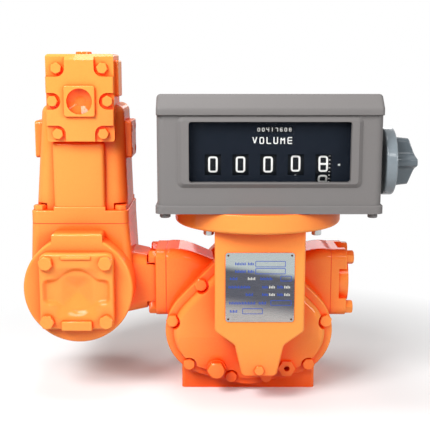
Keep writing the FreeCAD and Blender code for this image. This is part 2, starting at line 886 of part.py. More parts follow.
def adapter_bolt_places():
    """Four places on the adapter's bolt circle."""
    reach = adapter_bolt_circle / math.sqrt(2)
    return [(adapter_bolt_x + x, adapter_y + y) for x, y in corner_places(reach, reach)]


def counter_adapter():
    """Round dish that carries the counter, on a hollow column with a bolted foot."""
    centre = V(middle_x, adapter_y, adapter_bottom)
    dish = Part.makeCylinder(adapter_radius, adapter_thickness, centre)
    dish = round_edges(dish, adapter_round, lambda middle: abs(middle.z - adapter_bottom) < seat_gap)
    dish = round_edges(dish, edge_round, lambda middle: abs(middle.z - counter_base) < seat_gap)
    cavity = Part.makeCylinder(
        adapter_radius - 2 * adapter_wall, adapter_thickness - adapter_wall, centre + Z_AXIS * adapter_wall
    )
    middle = (middle_x, 0)
    column = slab("z", (pad_height, adapter_bottom), middle, (column_half_x, column_half_y), pad_corner)
    foot = slab("z", (pad_height, pad_height + column_foot), middle, (pad_half_x, pad_half_y), pad_corner)
    adapter = dish.cut(cavity).fuse([column, foot])
    hollow = slab(
        "z",
        (pad_height, adapter_bottom),
        (middle_x, 0),
        (column_half_x - adapter_wall, column_half_y - adapter_wall),
        block_corner,
    )
    shaft_low = V(middle_x, drive_shaft_y, adapter_bottom)
    cuts = [hollow, rod(drive_shaft_radius + running_gap, shaft_low, shaft_low + Z_AXIS * adapter_thickness)]
    for x, y in adapter_bolt_places():
        cuts.append(bolt_hole(adapter_bolt, V(x, y, adapter_bottom), -Z_AXIS))
    for x, y in corner_places(column_bolt_half, column_bolt_half):
        seat = V(middle_x + x, y, pad_height + column_foot)
        cuts.append(bolt_hole(column_bolt, seat, Z_AXIS))
        cuts.append(spanner_room(column_bolt, seat, Z_AXIS))
    return adapter.cut(cuts)


def counter_case():
    """Cast case with a base flange, a raised bezel round its window and an open top."""
    floor = counter_base + case_wall
    middle = (counter_x, case_middle_y)
    halves = (case_half, case_depth / 2)
    body = slab("z", (counter_base, case_top), middle, halves, case_corner)
    flange_halves = (case_half + case_flange_out, case_depth / 2 + case_flange_out)
    flange_top = counter_base + case_flange
    flange = slab("z", (counter_base, flange_top), middle, flange_halves, case_corner)
    flange = round_edges(flange, edge_round, lambda place: abs(place.z - flange_top) < seat_gap)
    bezel_span = (case_front - bezel_proud, case_front + case_wall)
    bezel_middle = (counter_x, bezel_z)
    wide = (bezel_half_x, bezel_half_z)
    narrow = (bezel_half_x - bezel_slope, bezel_half_z - bezel_slope)
    foot = rounded_outline("y", case_front, bezel_middle, wide, bezel_corner)
    front = rounded_outline("y", bezel_span[0], bezel_middle, narrow, bezel_corner - bezel_slope / 2)
    case = body.fuse([flange, Part.makeLoft([foot, front], True, True)])
    inner_halves = (case_half - case_wall, case_depth / 2 - case_wall)
    inside = slab("z", (floor, case_top), middle, inner_halves, case_corner - case_wall)
    window_halves = (bezel_half_x - 2 * bezel_width, bezel_half_z - bezel_width)
    window = slab("y", bezel_span, (counter_x, bezel_z), window_halves, bezel_corner / 2)
    shaft_low = V(middle_x, drive_shaft_y, counter_base)
    cuts = [inside, window, rod(2 * drive_shaft_radius, shaft_low, shaft_low + Z_AXIS * case_wall)]
    cuts.append(reset_shaft_bore(case_right - case_wall, case_right))
    for x, y in adapter_bolt_places():
        cuts.append(bolt_hole(adapter_bolt, V(x, y, adapter_bottom), -Z_AXIS))
    return case.cut(cuts)


def reset_shaft_bore(start, end):
    """Running hole for the reset shaft between two values of X."""
    return rod(
        reset_shaft_radius + running_gap, V(start, wheel_axis_y, wheel_axis_z), V(end, wheel_axis_y, wheel_axis_z)
    )


def counter_lid():
    """Lid with a square lip and a front that slopes up to a flat top."""
    front = case_front - lid_front_out
    back = case_back + lid_overhang
    left = counter_x - case_half - lid_overhang
    points = [
        V(left, front, case_top),
        V(left, front, case_top + lid_lip),
        V(left, front + lid_slope, lid_top),
        V(left, back - lid_back_slope, lid_top),
        V(left, back, case_top + lid_lip),
        V(left, back, case_top),
    ]
    width = 2 * (case_half + lid_overhang)
    lid = Part.Face(Part.makePolygon(points + points[:1])).extrude(X_AXIS * width)
    lid = lid.makeFillet(lid_round, [edge for edge in lid.Edges if is_lid_corner(edge)])
    inner = [
        V(left + case_wall, case_front + case_wall, case_top),
        V(left + case_wall, case_front + case_wall, case_top + lid_lip - case_wall),
        V(left + case_wall, case_front + case_wall + lid_slope, lid_top - case_wall),
        V(left + case_wall, back - lid_back_slope, lid_top - case_wall),
        V(left + case_wall, case_back - case_wall, case_top),
    ]
    hollow = Part.Face(Part.makePolygon(inner + inner[:1])).extrude(X_AXIS * (width - 2 * case_wall))
    return lid.cut(hollow)


def is_lid_corner(edge):
    """True for the lid's sloping and level edges at its two ends, above the lip's foot."""
    middle = edge.CenterOfMass
    at_end = abs(abs(middle.x - counter_x) - case_half - lid_overhang) < seat_gap
    return at_end and middle.z > case_top + seat_gap


def case_screw_places():
    """Screws through the corners of the counter's base flange."""
    reach_x = case_half - case_screw_inset
    reach_y = case_depth / 2 - case_screw_inset
    return [(counter_x + x, case_middle_y + y) for x, y in corner_places(reach_x, reach_y)]


def window_glass():
    """Pane behind the front wall of the case."""
    halves = (bezel_half_x - 2 * bezel_width + glass_lap, bezel_half_z - bezel_width + glass_lap)
    span = (glass_front, glass_front + glass_thickness)
    return slab("y", span, (counter_x, bezel_z), halves, bezel_corner / 2)


def wheel_places():
    """Middles of the number wheels along X, left to right."""
    first = wheel_middle_x - wheel_pitch * (wheel_count - 1) / 2
    return [first + wheel_pitch * k for k in range(wheel_count)]


def total_places():
    """Middles of the totalizer's wheels along X."""
    first = total_middle_x - total_wheel_pitch * (total_wheel_count - 1) / 2
    return [first + total_wheel_pitch * k for k in range(total_wheel_count)]


def total_half_width():
    """Half the width of the totalizer's row of wheels."""
    return total_wheel_pitch * total_wheel_count / 2


def counter_face():
    """Dark face with a window for each number wheel and one for the totalizer, and lugs for its shaft."""
    halves = (bezel_half_x - 2 * bezel_width + glass_lap, bezel_half_z - bezel_width + glass_lap)
    face = slab("y", (face_front, face_back), (counter_x, bezel_z), halves, bezel_corner / 2)
    lugs = []
    for side in (-1, 1):
        near = total_middle_x + side * (total_half_width() + running_gap)
        lug_x = sorted((near, near + side * total_lug))
        lug_y = (face_back, total_axis_y + total_lug_half_z)
        lugs.append(box(lug_x, lug_y, (total_axis_z - total_lug_half_z, total_axis_z + total_lug_half_z)))
    face = face.fuse(lugs)
    cuts = [total_shaft(seat_gap)]
    for place, x in enumerate(wheel_places()):
        down = last_window_down if place == wheel_count - 1 else figure_window_down
        window_x = (x - figure_window_half_x, x + figure_window_half_x)
        window_z = (wheel_axis_z - down, wheel_axis_z + figure_window_up)
        cuts.append(box(window_x, (face_front, face_back), window_z))
    reach = total_half_width()
    cuts.append(
        box(
            (total_middle_x - reach, total_middle_x + reach),
            (face_front, face_back),
            (total_axis_z - total_window_half_z, total_axis_z + total_window_half_z),
        )
    )
    return face.cut(cuts)


def total_shaft(extra):
    """Shaft of the totalizer, or the hole for it when made larger."""
    reach = total_half_width() + running_gap + total_lug
    start = V(total_middle_x - reach, total_axis_y, total_axis_z)
    return rod(total_shaft_radius + extra, start, start + X_AXIS * (2 * reach))


def total_wheel(x):
    """Small totalizer wheel."""
    start = V(x - total_wheel_width / 2, total_axis_y, total_axis_z)
    end = start + X_AXIS * total_wheel_width
    return rod(total_wheel_radius, start, end).cut(rod(total_shaft_radius + running_gap, start, end))


def number_wheel(x):
    """Number wheel: a rim and a thin web, dished on both sides."""
    start = V(x - wheel_width / 2, wheel_axis_y, wheel_axis_z)
    end = start + X_AXIS * wheel_width
    wheel = rod(wheel_radius, start, end)
    boss = 2 * reset_shaft_radius
    dish = rod(wheel_radius - wheel_rim, start, start + X_AXIS * wheel_dish)
    dish = dish.cut(rod(boss, start, end))
    far_dish = dish.translated(X_AXIS * (wheel_width - wheel_dish))
    return wheel.cut([dish, far_dish, reset_shaft_bore(x - wheel_width / 2, x + wheel_width / 2)])


def reset_shaft():
    """Shaft that carries the number wheels and is turned by the knob."""
    start = V(counter_x - chassis_half - chassis_plate, wheel_axis_y, wheel_axis_z)
    end = V(case_right + knob_gap + knob_bore_depth, wheel_axis_y, wheel_axis_z)
    return rod(reset_shaft_radius, start, end)


def counter_chassis():
    """Two upright plates joined by a base, which carry the reset shaft and the face."""
    floor = counter_base + case_wall
    depth = (face_back, face_back + chassis_depth)
    outer = (counter_x - chassis_half - chassis_plate, counter_x + chassis_half + chassis_plate)
    chassis = box(outer, depth, (floor, chassis_top))
    inner = (counter_x - chassis_half, counter_x + chassis_half)
    gap = box(inner, depth, (floor + chassis_plate, chassis_top))
    opening = box(inner, (face_back, drive_shaft_y + 4 * drive_shaft_radius), (floor, floor + chassis_plate))
    return chassis.cut([gap, opening, reset_shaft_bore(outer[0], outer[1])])


def reset_knob():
    """Round knob with a bar grip that rises to a blunt nose, and a ridge across each of its broad sides."""
    axis = V(0, wheel_axis_y, wheel_axis_z)
    inner = case_right + knob_gap
    outer = inner + knob_disc
    disc = rod(knob_radius, axis + X_AXIS * inner, axis + X_AXIS * outer)
    disc = round_edges(disc, knob_round, lambda middle: abs(middle.x - outer) < seat_gap)
    half = [
        (outer - knob_round, knob_grip_half_z),
        (inner + knob_disc + knob_grip_side, knob_grip_half_z - 2),
        (outer + knob_grip_reach, knob_ridge_half),
    ]
    points = [axis + V(x, -knob_ridge_y, z) for x, z in half]
    points = points + [axis + V(x, -knob_ridge_y, -z) for x, z in reversed(half)]
    silhouette = Part.Face(Part.makePolygon(points + points[:1])).extrude(Y_AXIS * (2 * knob_ridge_y))
    quarter = [
        (knob_grip_end_y, knob_grip_half_z),
        (knob_grip_half_y, knob_grip_root_z),
        (knob_ridge_y, knob_ridge_half),
    ]
    right = quarter + [(y, -z) for y, z in reversed(quarter)]
    star = [axis + V(outer - knob_round, y, z) for y, z in right + [(-y, -z) for y, z in right]]
    section = Part.Face(Part.makePolygon(star + star[:1]))
    grip = section.extrude(X_AXIS * (knob_round + knob_grip_reach)).common(silhouette)
    knob = disc.fuse(grip)
    bore = rod(reset_shaft_radius + seat_gap, axis + X_AXIS * inner, axis + X_AXIS * (inner + knob_bore_depth))
    return knob.cut(bore)


def strainer_bolt_places():
    """Bolts at the corners of the strainer's cover."""
    places = corner_places(strainer_bolt_half_x, strainer_bolt_half_z)
    return [(strainer_x + x, strainer_height + z) for x, z in places]


def tower_bolt_places():
    """Bolts at the corners of the tower's base."""
    places = corner_places(tower_bolt_half_x, tower_bolt_half_y)
    return [(strainer_x + x, strainer_box_y + y) for x, y in places]


def strainer_cover_back():
    """Y of the strainer cover's seat."""
    return strainer_front - gasket


def strainer_housing():
    """Round body with a box above it for the eliminator, a neck to the meter and an inlet flange behind."""
    body = rod_y(strainer_radius, strainer_x, strainer_height, (strainer_front, strainer_back))
    body = round_edges(body, front_round, lambda place: abs(place.y - strainer_front) < seat_gap)
    middle = (strainer_x, strainer_box_y)
    low_halves = (strainer_box_low_half_x, strainer_box_half_y)
    high_halves = (strainer_box_half_x, strainer_box_half_y)
    low = rounded_outline("z", strainer_height, middle, low_halves, strainer_box_corner)
    high = rounded_outline("z", strainer_top, middle, high_halves, strainer_box_corner)
    tower_seat = Part.makeLoft([low, high], True, True)
    ledge = box(
        (strainer_x - strainer_ledge_half, strainer_x + strainer_ledge_half),
        (strainer_front, 0),
        (strainer_height, strainer_ledge_top),
    )
    ledge = round_edges(ledge, front_round, lambda place: place.z > strainer_top - strainer_box_corner)
    flange_span = (-strainer_face - strainer_flange, -strainer_face)
    flange = slab("x", flange_span, (0, port_height), (port_half_y, port_half), port_corner)
    flange = round_edges(flange, edge_round, lambda place: abs(place.x - flange_span[0]) < seat_gap)
    wide = (strainer_neck_wide_y, strainer_neck_wide_z)
    narrow = (strainer_neck_half_y, strainer_neck_half_z)
    axis = (0, port_height)
    start = rounded_outline("x", strainer_x + strainer_neck_start, axis, wide, strainer_neck_corner)
    end = rounded_outline("x", flange_span[1], axis, narrow, strainer_neck_corner)
    neck = Part.makeLoft([start, end], True, True)
    inlet_span = (strainer_back, strainer_back + inlet_flange_thickness)
    inlet = slab("y", inlet_span, (strainer_x, strainer_height), (port_half, port_half), port_corner)
    inlet = round_edges(inlet, edge_round, lambda place: abs(place.y - inlet_span[1]) < seat_gap)
    housing = body.fuse([tower_seat, ledge, flange, neck, inlet])
    bore_end = strainer_back - strainer_floor
    cuts = [
        rod_y(strainer_bore, strainer_x, strainer_height, (strainer_front, bore_end)),
        rod_y(port_thread, strainer_x, strainer_height, (bore_end, inlet_span[1])),
        rod(port_bore, V(strainer_x, 0, port_height), V(0, 0, port_height)),
        rod(port_bore, V(strainer_x, 0, strainer_height), V(strainer_x, 0, strainer_top)),
    ]
    for x, z in strainer_bolt_places():
        cuts.append(bolt_hole(strainer_bolt, strainer_bolt_seat(x, z), -Y_AXIS))
    for y, z in corner_places(port_bolt_half_y, port_bolt_half):
        seat = V(flange_span[0], y, port_height + z)
        cuts.append(bolt_hole(port_bolt, seat, -X_AXIS))
        cuts.append(spanner_room(port_bolt, seat, -X_AXIS))
    for x, y in tower_bolt_places():
        cuts.append(bolt_hole(tower_bolt, V(x, y, tower_body_base), Z_AXIS))
    return housing.cut(cuts)


def strainer_bolt_seat(x, z):
    """Where the head of a strainer cover bolt sits."""
    return V(x, strainer_cover_back() - strainer_cover_plate, z)


def strainer_cover_gasket():
    """Gasket under the strainer's cover."""
    span = (strainer_cover_back(), strainer_front)
    halves = (strainer_cover_half_x, strainer_cover_half_z)
    sheet = slab("y", span, (strainer_x, strainer_height), halves, strainer_cover_corner)
    cuts = [rod_y(basket_radius + basket_rim + running_gap, strainer_x, strainer_height, span)]
    for x, z in strainer_bolt_places():
        cuts.append(bolt_hole(strainer_bolt, strainer_bolt_seat(x, z), -Y_AXIS))
    return sheet.cut(cuts)


def strainer_cover():
    """Square cover, dished in the middle clear of its four bolts, with a lug at its top and bottom edges."""
    back = strainer_cover_back()
    seat = back - strainer_cover_plate
    halves = (strainer_cover_half_x, strainer_cover_half_z)
    cover = slab("y", (seat, back), (strainer_x, strainer_height), halves, strainer_cover_corner)
    cover = round_edges(cover, strainer_cover_round, lambda place: abs(place.y - seat) < seat_gap)
    ball = (strainer_dish_radius ** 2 + strainer_dish_depth ** 2) / (2 * strainer_dish_depth)
    dish = Part.makeSphere(ball, V(strainer_x, seat + strainer_dish_depth - ball, strainer_height))
    pads = [rod_y(strainer_bolt_pad, x, z, (seat, back)) for x, z in strainer_bolt_places()]
    cover = cover.cut(dish.cut(pads))
    for side in (-1, 1):
        edge = side * strainer_cover_half_z
        lug_z = sorted((strainer_height + edge, strainer_height + edge - side * strainer_lug_height))
        lug_x = (strainer_x - strainer_lug_half, strainer_x + strainer_lug_half)
        lug = box(lug_x, (seat - strainer_lug_out, back), lug_z)
        lug = round_edges(lug, edge_round, lambda place: place.y < seat - strainer_lug_out / 3)
        cover = cover.fuse(lug)
    holes = [bolt_hole(strainer_bolt, V(x, seat, z), -Y_AXIS) for x, z in strainer_bolt_places()]
    return cover.cut(holes)


def strainer_basket():
    """Perforated basket held between the cover and the floor of the strainer."""
    span = (strainer_front, strainer_front + basket_length)
    tube = rod_y(basket_radius, strainer_x, strainer_height, span)
    rim_span = (span[0] - gasket, span[0] + basket_rim)
    rim = rod_y(basket_radius + basket_rim, strainer_x, strainer_height, rim_span)
    basket = tube.fuse(rim)
    inside = (span[0] - gasket, span[1] - basket_wall)
    cuts = [rod_y(basket_radius - basket_wall, strainer_x, strainer_height, inside)]
    middle = V(strainer_x, span[0], strainer_height)
    for row in range(basket_hole_rows):
        along = Y_AXIS * (basket_length * (row + 1) / (basket_hole_rows + 1))
        for k in range(basket_holes_round):
            angle = 2 * math.pi * (k + 0.5) / basket_holes_round
            way = V(math.cos(angle), 0, math.sin(angle))
            start = middle + along
            cuts.append(rod(basket_hole, start, start + way * (basket_radius + basket_wall)))
    return basket.cut(cuts)


def eliminator_gasket():
    """Gasket between the strainer and the tower."""
    halves = (strainer_box_half_x, strainer_box_half_y)
    sheet = slab("z", (strainer_top, tower_base), (strainer_x, strainer_box_y), halves, strainer_box_corner)
    cuts = [rod(port_bore, V(strainer_x, 0, strainer_top), V(strainer_x, 0, tower_base))]
    for x, y in tower_bolt_places():
        cuts.append(bolt_hole(tower_bolt, V(x, y, tower_body_base), Z_AXIS))
    return sheet.cut(cuts)


def head_bolt_places():
    """Six bolts of the head cover."""
    rows = [(head_bolt_up, head_bolt_out), (0, head_bolt_mid_out), (-head_bolt_up, head_bolt_out)]
    return [(head_x + side * out, head_middle_z + up) for up, out in rows for side in (-1, 1)]


def eliminator_body():
    """Tapered tower with a bolted base, a raised front panel on a plinth and a valve block at its head."""
    base = slab(
        "z",
        (tower_base, tower_body_base),
        (strainer_x, strainer_box_y),
        (strainer_box_half_x, strainer_box_half_y),
        strainer_box_corner,
    )
    base = round_edges(base, edge_round, lambda middle: abs(middle.z - tower_body_base) < seat_gap)
    low_middle = (strainer_x + tower_shift, tower_y)
    low = rounded_outline("z", tower_base, low_middle, (tower_half_x, tower_half_y), tower_corner)
    top_halves = (tower_top_half_x, tower_top_half_y)
    high = rounded_outline("z", tower_top, (strainer_x + tower_lean, tower_y), top_halves, tower_corner)
    tower = Part.makeLoft([low, high], True, True)
    tower = round_edges(tower, tower_shoulder, lambda middle: abs(middle.z - tower_top) < seat_gap)
    panel_top = head_bottom - running_gap
    panel = slab(
        "y",
        (-panel_front, 0),
        (strainer_x, (tower_base + panel_top) / 2),
        (panel_half, (panel_top - tower_base) / 2),
        panel_round,
    )
    panel = round_edges(panel, panel_round, is_panel_side)
    plinth_top = tower_body_base + plinth_rise
    plinth = box(
        (strainer_x - panel_half, strainer_x + panel_half),
        (strainer_box_y - strainer_box_half_y, 0),
        (tower_base, plinth_top),
    )
    plinth = round_edges(plinth, edge_round, lambda middle: abs(middle.z - plinth_top) < seat_gap)
    block_middle = (head_x, (-block_front + head_block_back) / 2)
    block = slab(
        "z",
        (head_bottom, head_top),
        block_middle,
        (head_half_x - head_overhang, (head_block_back + block_front) / 2),
        block_corner,
    )
    block = round_edges(block, edge_round, lambda middle: abs(middle.z - head_top) < seat_gap)
    body = base.fuse([tower, panel, plinth, block])
    cavity_top = tower_top - tower_roof
    middle = V(strainer_x, 0, 0)
    chamber_y = (-block_front, 0)
    chamber_z = (head_middle_z - head_chamber_half, head_top - 4 * head_bevel)
    plug_seat = V(head_x, head_plug_y, head_top)
    cuts = [
        rod(port_bore, middle + Z_AXIS * tower_base, middle + Z_AXIS * tower_body_base),
        rod(tower_bore, middle + Z_AXIS * tower_body_base, middle + Z_AXIS * cavity_top),
        box((head_x - head_chamber_half, head_x + head_chamber_half), chamber_y, chamber_z),
        rod(head_chamber_half / 2, middle + Z_AXIS * tower_body_base, middle + Z_AXIS * chamber_z[1]),
        rod(head_plug_shank + bolt_gap, plug_seat, V(head_x, head_plug_y, chamber_z[0])),
    ]
    for x, z in head_bolt_places():
        cuts.append(bolt_hole(head_bolt, V(x, head_pocket_depth - head_front, z), -Y_AXIS))
    for x, y in tower_bolt_places():
        seat = V(x, y, tower_body_base)
        cuts.append(bolt_hole(tower_bolt, seat, Z_AXIS))
        cuts.append(spanner_room(tower_bolt, seat, Z_AXIS))
    for side in (-1, 1):
        cuts.append(box(*side_cover_pocket(side)))
        for y, z in corner_places(side_cover_screw_y, side_cover_screw_z):
            cuts.append(bolt_hole(side_screw, side_screw_seat(side, y, z), V(side, 0, 0)))
    return body.cut(cuts)


def is_panel_side(middle):
    """True for an edge along the front of the tower's panel."""
    return abs(middle.y + panel_front) < seat_gap


def side_cover_face(side):
    """X of the flat on the tower that a side cover sits on."""
    middle = strainer_x + tower_shift + (tower_lean - tower_shift) * side_cover_share
    half = tower_half_x + (tower_top_half_x - tower_half_x) * side_cover_share
    return middle + side * (half - side_cover_sink)


def side_cover_pocket(side):
    """Block cut off the tower's side to give each side cover a flat seat."""
    near = side_cover_face(side)
    far = near + side * 2 * side_cover_thickness
    y = (side_cover_y - side_cover_half_y - 1, side_cover_y + side_cover_half_y + 1)
    z = (side_cover_z - side_cover_half_z - 1, side_cover_z + side_cover_half_z + 1)
    return sorted((near, far)), y, z


def side_screw_seat(side, y, z):
    """Where the head of a side cover's screw sits."""
    x = side_cover_face(side) + side * (side_cover_thickness - side_screw_sink)
    return V(x, side_cover_y + y, side_cover_z + z)


def side_cover(side):
    """Small flat cover on the side of the tower, with sunk screws."""
    near = side_cover_face(side)
    far = near + side * side_cover_thickness
    halves = (side_cover_half_y, side_cover_half_z)
    cover = slab("x", sorted((near, far)), (side_cover_y, side_cover_z), halves, block_corner)
    cover = round_edges(cover, edge_round, lambda middle: abs(middle.x - far) < seat_gap)
    cuts = []
    for y, z in corner_places(side_cover_screw_y, side_cover_screw_z):
        seat = side_screw_seat(side, y, z)
        way = V(side, 0, 0)
        cuts.append(bolt_hole(side_screw, seat, way))
        cuts.append(rod(side_screw.flats / math.sqrt(3) + bolt_gap, seat, seat + way * side_screw_sink))
    return cover.cut(cuts)


def eliminator_head():
    """Head cover with six bolt pockets and a square boss round the vent port."""
    plate_middle = (head_x, (head_top + head_bottom) / 2)
    plate = slab("y", (-head_front, -head_back), plate_middle, (head_half_x, head_height / 2), plate_corner)
    plate = round_edges(plate, edge_round, lambda middle: abs(middle.y + head_front) < seat_gap)
    plate = plate.cut(head_bevel_wedge())
    boss_y = (-head_front - vent_boss_rise, -head_back)
    boss = slab("y", boss_y, (head_x, head_middle_z), (vent_boss_half, vent_boss_half), plate_corner)
    boss = round_edges(boss, edge_round, lambda middle: abs(middle.y - boss_y[0]) < seat_gap)
    head = plate.fuse(boss)
    hole_floor = boss_y[0] + vent_hole_depth
    cuts = [rod_y(vent_hole, head_x, head_middle_z, (boss_y[0], hole_floor))]
    floor_middle = V(head_x, hole_floor, head_middle_z)
    cuts.append(Part.makeCone(vent_hole, vent_hole_floor, vent_hole_cone, floor_middle, Y_AXIS))
    for x, z in head_bolt_places():
        cuts = cuts + head_pocket_blocks(x, z)
        cuts.append(bolt_hole(head_bolt, V(x, head_pocket_depth - head_front, z), -Y_AXIS))
    return head.cut(cuts)


def head_pocket_blocks(x, z):
    """Pocket of one head bolt, open to the nearer side, and for corner bolts to the top or bottom as well."""
    depth = (-head_front, head_pocket_depth - head_front)
    side = math.copysign(1, x - head_x)
    outside = head_x + side * (head_half_x + 1)
    blocks = [rod_y(head_pocket, x, z, depth)]
    blocks.append(box(sorted((x, outside)), depth, (z - head_pocket, z + head_pocket)))
    if z > head_middle_z + head_pocket:
        blocks.append(box(sorted((x - side * head_pocket, outside)), depth, (z, head_top)))
    if z < head_middle_z - head_pocket:
        blocks.append(box(sorted((x - side * head_pocket, outside)), depth, (head_bottom, z)))
    return blocks


def head_bevel_wedge():
    """Prism that takes off the top front edge of the head cover."""
    points = [
        V(head_x - 2 * head_half_x, -head_front, head_top - head_bevel),
        V(head_x - 2 * head_half_x, -head_front, head_top),
        V(head_x - 2 * head_half_x, -head_front + head_bevel_depth, head_top),
    ]
    return Part.Face(Part.makePolygon(points + points[:1])).extrude(X_AXIS * (4 * head_half_x))


def head_gasket():
    """Gasket behind the head cover."""
    middle = (head_x, (head_top + head_bottom) / 2)
    span = (-head_back, -block_front)
    sheet = slab("y", span, middle, (head_half_x - head_overhang, head_height / 2), plate_corner)
    reach = head_chamber_half
    cuts = [box((head_x - reach, head_x + reach), span, (head_middle_z - reach, head_top - 4 * head_bevel))]
    for x, z in head_bolt_places():
        cuts.append(bolt_hole(head_bolt, V(x, head_pocket_depth - head_front, z), -Y_AXIS))
    return sheet.cut(cuts)


def head_plug():
    """Round plug in the top of the valve block."""
    seat = V(head_x, head_plug_y, head_top)
    head = Part.makeCylinder(head_plug_radius, head_plug_rise, seat)
    head = round_edges(head, 1, lambda middle: middle.z > head_top + seat_gap)
    return head.fuse(rod(head_plug_shank, seat, seat - Z_AXIS * (3 * head_bevel)))


def head_side_plate():
    """Small plate on the right side of the valve block."""
    near = head_x + head_half_x - head_overhang
    far = near + side_plate_thickness
    middle = (-block_front + side_plate_half_y + rim_round, head_top - head_bevel - side_plate_half_z)
    plate = slab("x", (near, far), middle, (side_plate_half_y, side_plate_half_z), plate_corner)
    return round_edges(plate, edge_round, lambda place: abs(place.x - far) < seat_gap)


def float_ball():
    """Round float that rides on its rod."""
    start = V(strainer_x, 0, tower_body_base + float_bar)
    body = Part.makeCylinder(float_radius, float_height, start)
    body = body.makeFillet(float_round, [edge for edge in body.Edges if edge.Closed])
    return body.cut(Part.makeCylinder(float_rod_radius + running_gap, float_height, start))


def float_rod():
    """Upright rod that guides the float, standing on a cross bar in the tower's floor."""
    low = V(strainer_x, 0, tower_body_base)
    top = V(strainer_x, 0, tower_top - tower_roof)
    bar = box(
        (strainer_x - port_bore - float_bar_lap, strainer_x + port_bore + float_bar_lap),
        (-float_rod_radius, float_rod_radius),
        (tower_body_base, tower_body_base + float_bar - running_gap),
    )
    return rod(float_rod_radius, low, top).fuse(bar)


def vent_seat():
    """Valve seat behind the head cover, with the small hole that the float's valve closes."""
    near = -head_back
    span = (near, near + vent_seat_thickness)
    seat = slab("y", span, (head_x, head_middle_z), (vent_seat_half, vent_seat_half), 2)
    return seat.cut(rod_y(vent_seat_hole, head_x, head_middle_z, span))


def build_meter():
    """Housing, covers, rotors, gears and port fittings."""
    save("meter_housing", [meter_housing()])
    save("front_cover", [front_cover()])
    save("rear_cover", [rear_cover()])
    save("cover_gaskets", [cover_gasket(-1), cover_gasket(1)])
    bolts = []
    for side in (-1, 1):
        for x, z in cover_bolt_places():
            bolts.append(hex_bolt(cover_bolt, V(x, side * cover_rim_face, z), V(0, side, 0)))
    save("cover_bolts", bolts)
    save("front_bearing_plate", [bearing_plate_solid(-1)])
    save("rear_bearing_plate", [bearing_plate_solid(1)])
    save("rotor_bushes", [rotor_bush(x, z, side) for x, z in rotor_places() for side in (-1, 1)])
    save("blocking_rotor", [blocking_rotor()])
    save("left_displacement_rotor", [displacement_rotor(-1)])
    save("right_displacement_rotor", [displacement_rotor(1)])
    save("blocking_timing_gear", [timing_gear(0, blocking_height, 0)])
    for side, name in ((-1, "left_timing_gear"), (1, "right_timing_gear")):
        turn = mesh_turn(0, rotor_line(side), timing_teeth)
        save(name, [timing_gear(side * rotor_spread, rotor_height, turn)])
    save("rotor_drive_gear", [rotor_drive_gear()])
    save("packing_shaft", [packing_shaft()])
    save("packing_gland", [packing_gland()])
    save("drive_shaft", [drive_shaft()])
    drain_seat = V(drain_x, -cover_face - drain_boss_rise, drain_z)
    plug = Bolt(drain_plug_flats, drain_plug_head, drain_plug_shank, drain_plug_length)
    save("drain_plug", [hex_bolt(plug, drain_seat, -Y_AXIS)])
    save("outlet_flange", [outlet_flange()])
    save("port_gaskets", [port_gasket(-1), port_gasket(1)])
    save("port_bolts", port_bolts())


def build_counter():
    """Dust cover, adapter and the counter."""
    save("dust_cover", [dust_cover()])
    save("dust_cover_screw", [hex_bolt(dust_screw, V(middle_x, -dust_front, dust_screw_z), -Y_AXIS)])
    save("nameplate", [nameplate()])
    save("counter_adapter", [counter_adapter()])
    bolts = [hex_bolt(adapter_bolt, V(x, y, adapter_bottom), -Z_AXIS) for x, y in adapter_bolt_places()]
    for x, y in corner_places(column_bolt_half, column_bolt_half):
        bolts.append(hex_bolt(column_bolt, V(middle_x + x, y, pad_height + column_foot), Z_AXIS))
    save("adapter_bolts", bolts)
    screw_holes = [bolt_hole(case_screw, V(x, y, counter_base), -Z_AXIS) for x, y in case_screw_places()]
    save("counter_case", [counter_case().cut(screw_holes)])
    places = case_screw_places()
    save("counter_screws", [hex_bolt(case_screw, V(x, y, counter_base), -Z_AXIS) for x, y in places])
    save("counter_lid", [counter_lid()])
    save("window_glass", [window_glass()])
    save("counter_face", [counter_face()])
    for place, x in enumerate(wheel_places()):
        save("number_wheel_" + str(place + 1), [number_wheel(x)])
    totals = [total_wheel(x) for x in total_places()]
    save("totalizer_wheels", totals[:-1])
    save("totalizer_unit_wheel", totals[-1:])
    save("totalizer_shaft", [total_shaft(0)])
    save("counter_chassis", [counter_chassis()])
    save("reset_shaft", [reset_shaft()])
    save("reset_knob", [reset_knob()])


def build_strainer():
    """Strainer and its cover."""
    save("strainer_housing", [strainer_housing()])
    save("strainer_cover", [strainer_cover()])
    save("strainer_cover_gasket", [strainer_cover_gasket()])
    seat = strainer_cover_back() - strainer_cover_plate
    places = strainer_bolt_places()
    save("strainer_cover_bolts", [hex_bolt(strainer_bolt, V(x, seat, z), -Y_AXIS) for x, z in places])
    save("strainer_basket", [strainer_basket()])


def build_eliminator():
    """Air eliminator: tower, head, float and small covers."""
    save("eliminator_body", [eliminator_body()])
    save("eliminator_gaskets", [eliminator_gasket(), head_gasket()])
    save(
        "eliminator_bolts",
        [hex_bolt(tower_bolt, V(x, y, tower_body_base), Z_AXIS) for x, y in tower_bolt_places()],
    )
    save("eliminator_head", [eliminator_head()])
    seat = head_pocket_depth - head_front
    save("head_bolts", [hex_bolt(head_bolt, V(x, seat, z), -Y_AXIS) for x, z in head_bolt_places()])
    save("head_plug", [head_plug()])
    save("head_side_plate", [head_side_plate()])
    save("tower_side_covers", [side_cover(-1), side_cover(1)])
    screws = []
    for side in (-1, 1):
        for y, z in corner_places(side_cover_screw_y, side_cover_screw_z):
            screws.append(hex_bolt(side_screw, side_screw_seat(side, y, z), V(side, 0, 0)))
    save("side_cover_screws", screws)
    save("float", [float_ball()])
    save("float_rod", [float_rod()])
    save("vent_seat", [vent_seat()])


build_meter()
build_counter()
build_strainer()
build_eliminator()
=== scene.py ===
"""Looks of a positive displacement flow meter: enamelled castings, counter, nameplate, fasteners and stage."""

import json
import math

